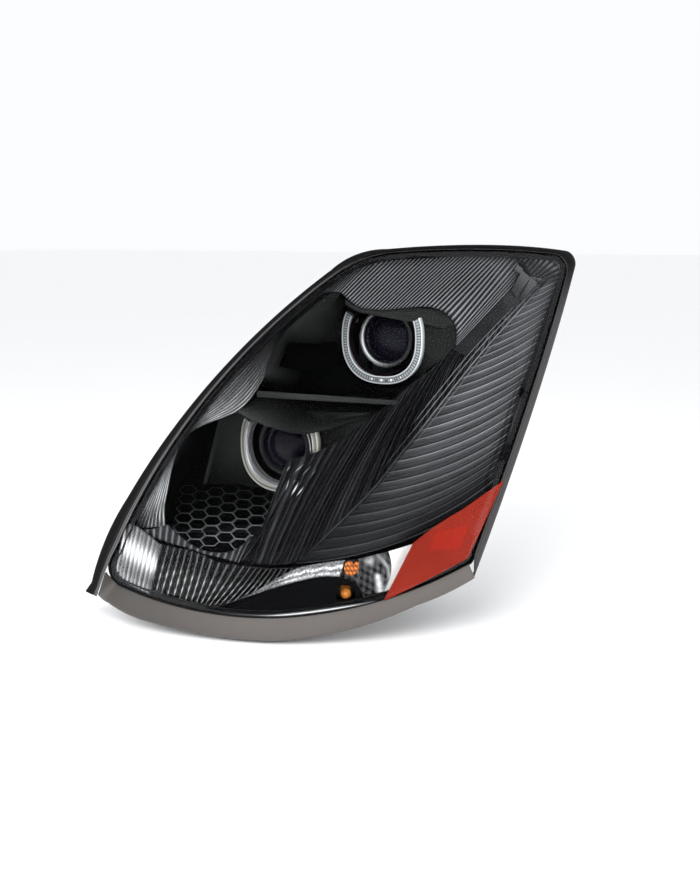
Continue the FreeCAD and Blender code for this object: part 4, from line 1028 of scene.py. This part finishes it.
def lower_panel():
    """The grey panel round the lower ring, across the beam, with painted light and shade, and a
    painted highlight that makes its left edge paler.
    """
    y = HIGH[1] + PLATE_BEHIND
    loop = outline([(-150, 50), None, (-180, -57), None, (-130, -54), None, (-106, -60), None,
                    (-56, -52), None, (-57, -22), None, (13, 5), None, (48, 30), None,
                    (60, 42), None], 4)
    hole = beam_circle(HIGH, PLATE_OPENING, y)

    def front(u, v):
        return np.minimum(beam_plane(u, v, y), dome(u, v, 29))

    def tone(u, v):
        return 0.10 + 0.62 * ease((v + 62) / 95) * ease((-95 - u) / 50 + 0.35) + 0.30 * ease(u / 50)
    sheet("lower_panel", [loop, hole], front, lambda u, v: front(u, v) - 2.5, GREY, spacing=5,
          tone=tone, nodes=("lower_bezel",), slot="grey_bezel")
    edge = outline([(-153, 50), None, (-147.5, 50), None, (-177, -56), None, (-182.5, -56), None],
                   4)
    sheet("panel_edge", [edge], lambda u, v: beam_plane(u, v, y) + 3,
          lambda u, v: beam_plane(u, v, y) - 22, GREY, spacing=4, tone=lambda u, v: 0.85 + 0 * u,
          nodes=("side_panel",), slot="grey_bezel")


# ---------------------------------------------------------------- light rings and projectors

def ring_reach(angle, radius):
    """A squared circle: its point at an angle."""
    c, s = math.cos(angle), math.sin(angle)
    k = (abs(c) ** 2.4 + abs(s) ** 2.4) ** (-1 / 2.4)
    return radius * k * c, radius * k * s


def horseshoe(name, middle, section, material, ticks=(), tones=None, **kept):
    """A closed section of (radius, depth) led round the open-topped light ring."""
    first, last = math.radians(28), math.radians(-212)
    count = 260
    rows, tone = [], []
    for i in range(count):
        angle = first + (last - first) * i / (count - 1)
        notch = i % 4 < 2
        row = []
        for k, (radius, depth) in enumerate(section):
            x, z = ring_reach(angle, radius)
            sunk = notch and k in ticks
            row.append((middle[0] + x, middle[1] + depth + (0.9 if sunk else 0), middle[2] + z))
            if tones:
                # The sunk ticks get painted shade.
                tone.append(tones[k] * (0.35 if sunk else 1.0))
        rows.append(row)
    swept(name, np.array(rows), material, to=car, tone=tone or None, angle=40, **kept)


def light_rings():
    """The two light guides, the parts round them and the walls inside."""
    guide = [(63, 8), (63, 1.6), (62.4, 0.3), (61.4, 0), (60.6, 1.2), (57.6, 0.7), (54.4, 1.2),
             (53.6, 0), (52.6, 0.3), (52, 1.6), (52, 8)]
    # Painted highlights on the guides' ridges and painted shade between them.
    tones = [0.15, 0.5, 0.95, 0.8, 0.25, 0.55, 0.30, 0.75, 0.9, 0.4, 0.1]
    horseshoe("upper_guide", LOW, guide, GUIDE, ticks=(4, 5, 6), tones=tones,
              nodes=("upper_light_ring",), slot="light_guide")
    edge = [(63, 8), (63, 1.6), (62.2, 0.3), (61.4, 0.2), (60.2, 1.2), (58.8, 0.7), (57.4, 1.2),
            (56.8, 0.4), (56.2, 0.6), (55.6, 1.6), (55.6, 8)]
    horseshoe("lower_guide", HIGH, edge, WARM, ticks=(4, 5), tones=tones,
              nodes=("lower_light_ring",), slot="light_guide")
    wide = [(55.2, 1.2), (54.6, 0.8), (51.8, 4.5), (50.2, 9.4), (50.9, 9.6), (53.0, 6.0)]
    # The lower ring's chrome walls carry painted light.
    horseshoe("lower_ring_wall", HIGH, wide, PLATED, tones=[0.8, 1.0, 0.55, 0.9, 0.4, 0.3],
              slot="chrome_plastic")
    wall = [(51.5, 1.0), (50.8, 0.6), (49.8, 5), (49.1, 9.2), (49.8, 9.5), (50.6, 5)]
    # The upper inner wall is near black: painted shade in the gap inside the ring.
    lathed("upper_inner_wall", wall, LOW, MAROON, nodes=("upper_ring_reflector",),
           slot="chrome_plastic")
    lathed("lower_inner_wall", wall, HIGH, PLATED, tone=[0.5, 0.75, 0.35, 0.6, 0.4, 0.3] * SEGMENTS,
           nodes=("lower_ring_reflector",), slot="chrome_plastic")
    for number in range(7):
        angle = math.radians(-104 + number * 7.5)
        x, z = ring_reach(angle, 57.6)
        size = (1.6, 0.9, 2.2, 1.1, 2.0, 0.8, 1.2)[number]
        profile = [(0.05, -0.5), (size * 0.7, -0.4), (size, 0.4), (size * 0.9, 1.4), (0.05, 1.4)]
        lathed("ring_lamp_%d" % number, profile, (LOW[0] + x, LOW[1], LOW[2] + z),
               LAMP if number % 2 == 0 else RETAINER, segments=14, slot="light_guide")


def retainers():
    """The rings that hold the projector lenses: a crescent of painted highlight above, painted
    shade below.
    """
    profile = [(34.5, 11.2), (35.6, 9.6), (38.2, 8.9), (41.0, 9.6), (42.2, 12.2), (42.2, 20),
               (35.6, 20), (35.6, 14)]
    tones = np.array([0.5, 0.9, 1.0, 0.7, 0.35, 0.1, 0.1, 0.3])
    angle = np.arange(SEGMENTS) * 360 / SEGMENTS
    crescent = 0.03 + 0.97 * np.exp(-((angle - 205) / 48) ** 2)
    for beam, middle, material, light in (("low", LOW, PLATED, crescent),
                                          ("high", HIGH, RETAINER, None)):
        x, y, z = middle
        tone = None if light is None else (light[:, None] * tones[None]).ravel()
        lathed(beam + "_retaining_ring", profile, (x, y + LENS_BEHIND, z), material, tone=tone,
               nodes=(beam + "_beam_retainer",), slot="chrome_plastic", body="projector_carrier")


# ---------------------------------------------------------------- lower left: honeycomb

def honeycomb():
    """The sloping honeycomb floor, its long cells laid level across the lamp."""
    slope = math.radians(34)
    normal = AXES.T @ np.array((0, -math.sin(slope), math.cos(slope)))
    level = -52 * -math.sin(slope) - 146 * math.cos(slope)

    def height(u, v):
        return (level - normal[0] * u - normal[1] * v) / normal[2]
    half, tall, wall = 14.2, 6.3, 0.5
    left, right, bottom, top = -228, -60, -137, -62
    shape = [(1, 0), (0.5, 1), (-0.5, 1), (-1, 0), (-0.5, -1), (0.5, -1)]
    flat = bmesh.new()
    for column in range(12):
        for row in range(9):
            u = left + column * half * 1.5
            v = -146 + (row + (0.5 if column % 2 else 0)) * tall * 2 - 0.06 * (u - left)
            if not (left < u < right and bottom < v < top) or height(u, v) > dome(u, v, 33):
                continue
            outside = [flat.verts.new((u + a * half, v + b * tall, 0)) for a, b in shape]
            within = [flat.verts.new((u + a * (half - wall * 1.9), v + b * (tall - wall), 0))
                      for a, b in shape]
            for k in range(6):
                m = (k + 1) % 6
                flat.faces.new((outside[k], outside[m], within[m], within[k]))
    bmesh.ops.remove_doubles(flat, verts=flat.verts, dist=0.05)
    bmesh.ops.recalc_face_normals(flat, faces=flat.faces)
    points = np.array([tuple(v.co) for v in flat.verts])
    flat.verts.index_update()
    faces = [tuple(v.index for v in f.verts) for f in flat.faces]
    flat.free()
    count = len(points)
    u, v = points[:, 0], points[:, 1]
    upper = np.stack((u, v, height(u, v)), 1)
    under = upper - np.array((0, 0, 2.2))
    all_faces = faces + [tuple(i + count for i in f[::-1]) for f in faces]
    all_faces += [(b, a, a + count, b + count) for a, b in rim_edges(faces)]
    # Painted light: brighter towards the bottom of the grille, in broad bands across it.
    bright = (0.06 + 0.75 * ease((-72 - v) / 70)) * (0.6 + 0.5 * np.abs(np.sin(u * 0.13 + v * 0.2)))
    piece("honeycomb", face(np.concatenate((upper, under))), all_faces, SILVER,
          nodes=("honeycomb_grille",), slot="chrome_plastic", angle=30, tone=np.tile(bright, 2))


# ---------------------------------------------------------------- signal lamps

def turn_reflector():
    """The fluted chrome bowl along the bottom left: very bright in its corner from a painted
    highlight, then dark with painted shade.
    """
    pairs = [((-229, -134), (-248, -205.5)), ((-210, -138), (-232, -209)),
             ((-187, -142), (-208, -213)), ((-168, -148), (-189, -215)),
             ((-150, -156), (-177, -217)), ((-127, -159), (-165, -218)),
             ((-107, -161), (-151, -216)), ((-91, -163), (-130, -210)),
             ((-73, -163), (-104, -201)), ((-53, -162), (-73, -191)), ((-34, -159), (-51, -184))]
    flute = [(0.0, 0.9, 1.0), (0.10, 1.0, 0.9), (0.2, 0.5, 0.10), (0.5, 0.0, 0.02),
             (0.85, 0.4, 0.06), (0.95, 0.7, 0.5)]

    def shade(u, v, s, at):
        ripple = 0.55 + 0.45 * np.sin(s * 31 + np.floor(at * 26) * 1.9)
        return 0.16 + 0.42 * ripple * ease((s - 0.3) / 0.2) + 0 * u
    ruled("turn_bowl", pairs, 23, flute, 2.4, rows=40, shade=shade, material=PLATED, back=17,
          nodes=("turn_reflector",), slot="chrome_plastic", bows=(0.0, 0.02, 0.05), fade=0.02)
    corner = [((-282, -107), (-298, -177)), ((-266, -110), (-285, -190)),
              ((-229, -135), (-248, -205.5))]
    soft = [(0.0, 0.8, 1.0), (0.25, 1.0, 0.9), (0.5, 0.3, 0.42), (0.75, 0.0, 0.34),
            (0.9, 0.4, 0.7)]

    def corner_shade(u, v, s, at):
        flash = np.exp(-((s - 0.42) / 0.16) ** 2)
        return 0.26 + 0.1 * np.sin(at * 40) + 1.2 * flash + 0.2 * ease((s - 0.75) / 0.2)
    ruled("turn_bowl_corner", corner, 9, soft, 1.6, rows=40, shade=corner_shade, material=PLATED,
          back=14, slot="chrome_plastic", fade=0.02)


def mottled_strip():
    """The rough bright strip along the top of the black opening."""
    count, rows = 150, 14
    at = np.linspace(0, 1, count)
    top = smooth([(-137, -212), (-107, -199), (-73, -178), (-40, -162), (-4, -155), (20, -152)], at)
    low = smooth([(-157, -221), (-127, -213), (-104, -202), (-80, -191), (-29, -177), (-8, -174),
                  (12, -174)], at)
    s = np.linspace(0, 1, rows)[None, :, None]
    flat = top[:, None] * (1 - s) + low[:, None] * s
    u, v = flat[..., 0], flat[..., 1]
    bumps = np.sin(u * 0.9 + v * 0.5) * np.cos(v * 0.8 - u * 0.3)
    front = np.stack((u, v, dome(u, v, 15.9) + bumps * 0.6), 2)
    speck = hashed(np.arange(count * rows), 7).reshape(count, rows)
    across = np.linspace(0, 1, rows)[None]
    vein = (np.exp(-((across - 0.42 - 0.05 * np.sin(at[:, None] * 50)) / 0.10) ** 2)
            + 0.8 * np.exp(-((across - 0.80) / 0.08) ** 2))
    right = ease((at - 0.45) / 0.2)[:, None]
    # Random specks and two bright veins along the strip; the rise towards the right is painted
    # light.
    tone = (0.05 + 0.22 * speck ** 2 + 0.16 * right * speck + vein * (0.25 + 0.6 * right)
            * (0.4 + 0.6 * speck))
    slab("mottled_strip", front, on_dome(flat, 21.5), PLATED, tone, angle=30,
         slot="chrome_plastic")


def shroud():
    """The black leaf across the turn signal, open round the amber bulb, over a bright lip. The
    leaf's near-black is painted shade for the dark opening, the lip's brightness a painted
    highlight.
    """
    loop = outline([(-161, -222), (-104, -200), (-29, -177.5), (-4, -174), (16, -176), (34, -185),
                    (45, -207), None, (46, -209), None, (-4, -215), None, (-80, -223), None,
                    (-120, -223.5), None], 3)
    opening = outline([(8, -192), (12, -186.5), (20, -186), (30, -188.5), (34, -199), None,
                       (34.5, -206.5), None, (9.5, -210), None, (8, -208.5), None], 3)
    # A near-black sheet: painted shade for the dark turn-signal opening.
    sheet("shade_leaf", [loop, opening], lambda u, v: dome(u, v, 14.5), lambda u, v: dome(u, v, 17),
          GLOSS_BLACK, nodes=("signal_shroud",), slot="black_plastic", spacing=8)
    upper = smooth([(-157, -224), (-120, -225.3), (-80, -225), (-40, -221), (9, -214.3),
                    (64, -206.5)], np.linspace(0, 1, 90))
    lower = smooth([(-157, -225), (-120, -228), (-80, -229), (-40, -226), (9, -219), (66, -209.5)],
                   np.linspace(0, 1, 90))
    crown = [(0, 15), (0.3, 13), (0.7, 13), (1, 15), (1, 17), (0, 17)]
    # Painted highlight along the lip, stronger towards the right.
    bright = 0.15 + 0.85 * ease((np.linspace(0, 1, 90) - 0.22) / 0.25)
    tone = bright[:, None] * np.array([0.4, 0.9, 0.55, 0.3, 0.1, 0.1])[None]
    swept("leaf_lip", crowned(upper, lower, crown), PLATED, slot="chrome_plastic",
          tone=tone.ravel())


def marker():
    """The round bowl right of the bulb, with painted highlights; the amber glint in it, a painted
    reflection of the bulb; and the pale plate beside it.
    """
    bowl = outline([(22, -153), None, (39, -151), None, (77, -142), (82, -168), (60, -207), None,
                    (43, -208.5), (37, -188), (21, -180), None, (10, -174.5), None], 3)

    def front(u, v):
        r = np.hypot(u - 50, v + 178)
        fan = np.sin(np.arctan2(v + 200, u - 40) * 14)
        return dome(u, v, 22.5) - 9 * np.exp(-(r / 24) ** 2) + fan * 0.7

    # Painted highlights and reflections on the chrome bowl: a tall streak, a round spot, faint
    # stripes and a brighter rim on the right.
    def tone(u, v):
        tall = np.exp(-(((u - 66) + 0.15 * (v + 188)) / 3.6) ** 2) * ease((v + 214) / 8) * ease(
            (-170 - v) / 8)
        blob = np.exp(-((u - 53) / 5.5) ** 2 - ((v + 155) / 5) ** 2)
        stripes = np.sin(u * 0.55 + v * 0.28) * np.sin(v * 0.33 - u * 0.21)
        edge = np.exp(-((np.hypot(u - 46, v + 176) - 33) / 2.2) ** 2)
        return 0.05 + 0.07 * stripes + 0.9 * tall + 0.45 * blob + 0.30 * edge * ease((u - 55) / 15)
    sheet("marker_bowl", [bowl], front, lambda u, v: front(u, v) - 2.5, PLATED, spacing=2.2,
          slot="chrome_plastic", tone=tone)
    # A painted reflection of the amber bulb, in bright and dark facets.
    glint = outline([(19, -160), (22, -155), (29, -154), None, (30.5, -160), None, (33, -155),
                     None, (39, -155), None, (37, -168), None, (29, -174), (22, -171)], 2)
    sheet("amber_glint", [glint], lambda u, v: dome(u, v, 17.6) + 0.8 * np.sin(u * 1.1 + v),
          lambda u, v: dome(u, v, 19.5), GLINT, spacing=1.5, slot="amber_bulb",
          tone=lambda u, v: 0.12 + 0.88 * (np.sin(u * 0.62 + v * 0.35) * np.cos(v * 0.5)) ** 2)
    plate = outline([(78, -142), None, (116, -131), None, (150, -108), None, (200, -100), None,
                     (180, -150), None, (110, -186), None, (70, -206.5), None, (61, -208),
                     (81, -175)], 4)
    sheet("marker_plate", [plate], lambda u, v: dome(u, v, 21), lambda u, v: dome(u, v, 25), PALE,
          nodes=("marker_reflector",), slot="chrome_plastic")


def side_reflex():
    """The red side reflector and the darker square set into it."""
    loop = outline(REFLEX, 4)
    sheet("reflex_lens", [loop], lambda u, v: dome(u, v, 6.2), lambda u, v: dome(u, v, 9),
          REFLEX_RED, nodes=("side_reflex",), slot="red_reflex")
    patch = outline(INSERT, 4)
    sheet("reflex_patch", [patch], lambda u, v: dome(u, v, 5.6), lambda u, v: dome(u, v, 6.1),
          REFLEX_DARK, nodes=("reflex_insert",), slot="red_reflex")


# ---------------------------------------------------------------- camera, floor and light

def stage():
    """A pale floor, soft light and the camera."""
    low = CAD_BOX[0]
    size = 30
    mesh = bpy.data.meshes.new("floor")
    mesh.from_pydata([(-size, -size, low[2]), (size, -size, low[2]), (size, size, low[2]),
                      (-size, size, low[2])], [], [(0, 1, 2, 3)])
    mesh.materials.append(surface("floor", (0.93, 0.93, 0.93), (0.96, 0.96, 0.96), (0.7, 0.8),
                                  cloud=2, grain=40, relief=0.0, specular=0.1))
    floor = bpy.data.objects.new("floor", mesh)
    bpy.context.scene.collection.objects.link(floor)

    camera = bpy.data.cameras.new("camera")
    camera.lens, camera.sensor_width = 44.62, 36.0
    camera.shift_x, camera.shift_y = 0.023, 0.0121
    holder = bpy.data.objects.new("camera", camera)
    placed = TURNED.to_4x4()
    placed.translation = Vector(face((0, 0, 1400)))
    holder.matrix_world = placed
    bpy.context.scene.collection.objects.link(holder)
    bpy.context.scene.camera = holder

    world = bpy.data.worlds.new("world")
    world.use_nodes = True
    bpy.context.scene.world = world
    back = world.node_tree.nodes["Background"]
    back.inputs["Color"].default_value = (0.97, 0.98, 1.0, 1)
    back.inputs["Strength"].default_value = 1.0

    for name, place, size, power in (
            ("key", (-500, 900, 1500), 1.3, 26), ("side", (1400, 100, 900), 0.8, 12),
            ("left", (-1500, 200, 700), 0.8, 10)):
        light = bpy.data.lights.new(name, "AREA")
        light.shape, light.size, light.energy = "DISK", size, power
        lamp = bpy.data.objects.new(name, light)
        where = Vector(face(place))
        aim = Vector(face((0, 0, -40))) - where
        lamp.matrix_world = Matrix.Translation(where) @ aim.to_track_quat("-Z", "Y").to_matrix(
        ).to_4x4()
        lamp.visible_glossy = False
        bpy.context.scene.collection.objects.link(lamp)
    bpy.context.scene.view_settings.view_transform = "Standard"


carry_over()
lens_cover()
edge_gasket()
lower_trim()
right_zone()
top_zone()
lower_zone()
bright_chips()
crease_lines()
left_zone()
smooth_band()
under_strip()
corner_teeth()
border()
upper_bowl()
upper_visor()
shelf()
lower_visor()
lower_panel()
light_rings()
retainers()
honeycomb()
turn_reflector()
mottled_strip()
shroud()
marker()
side_reflex()
stage()
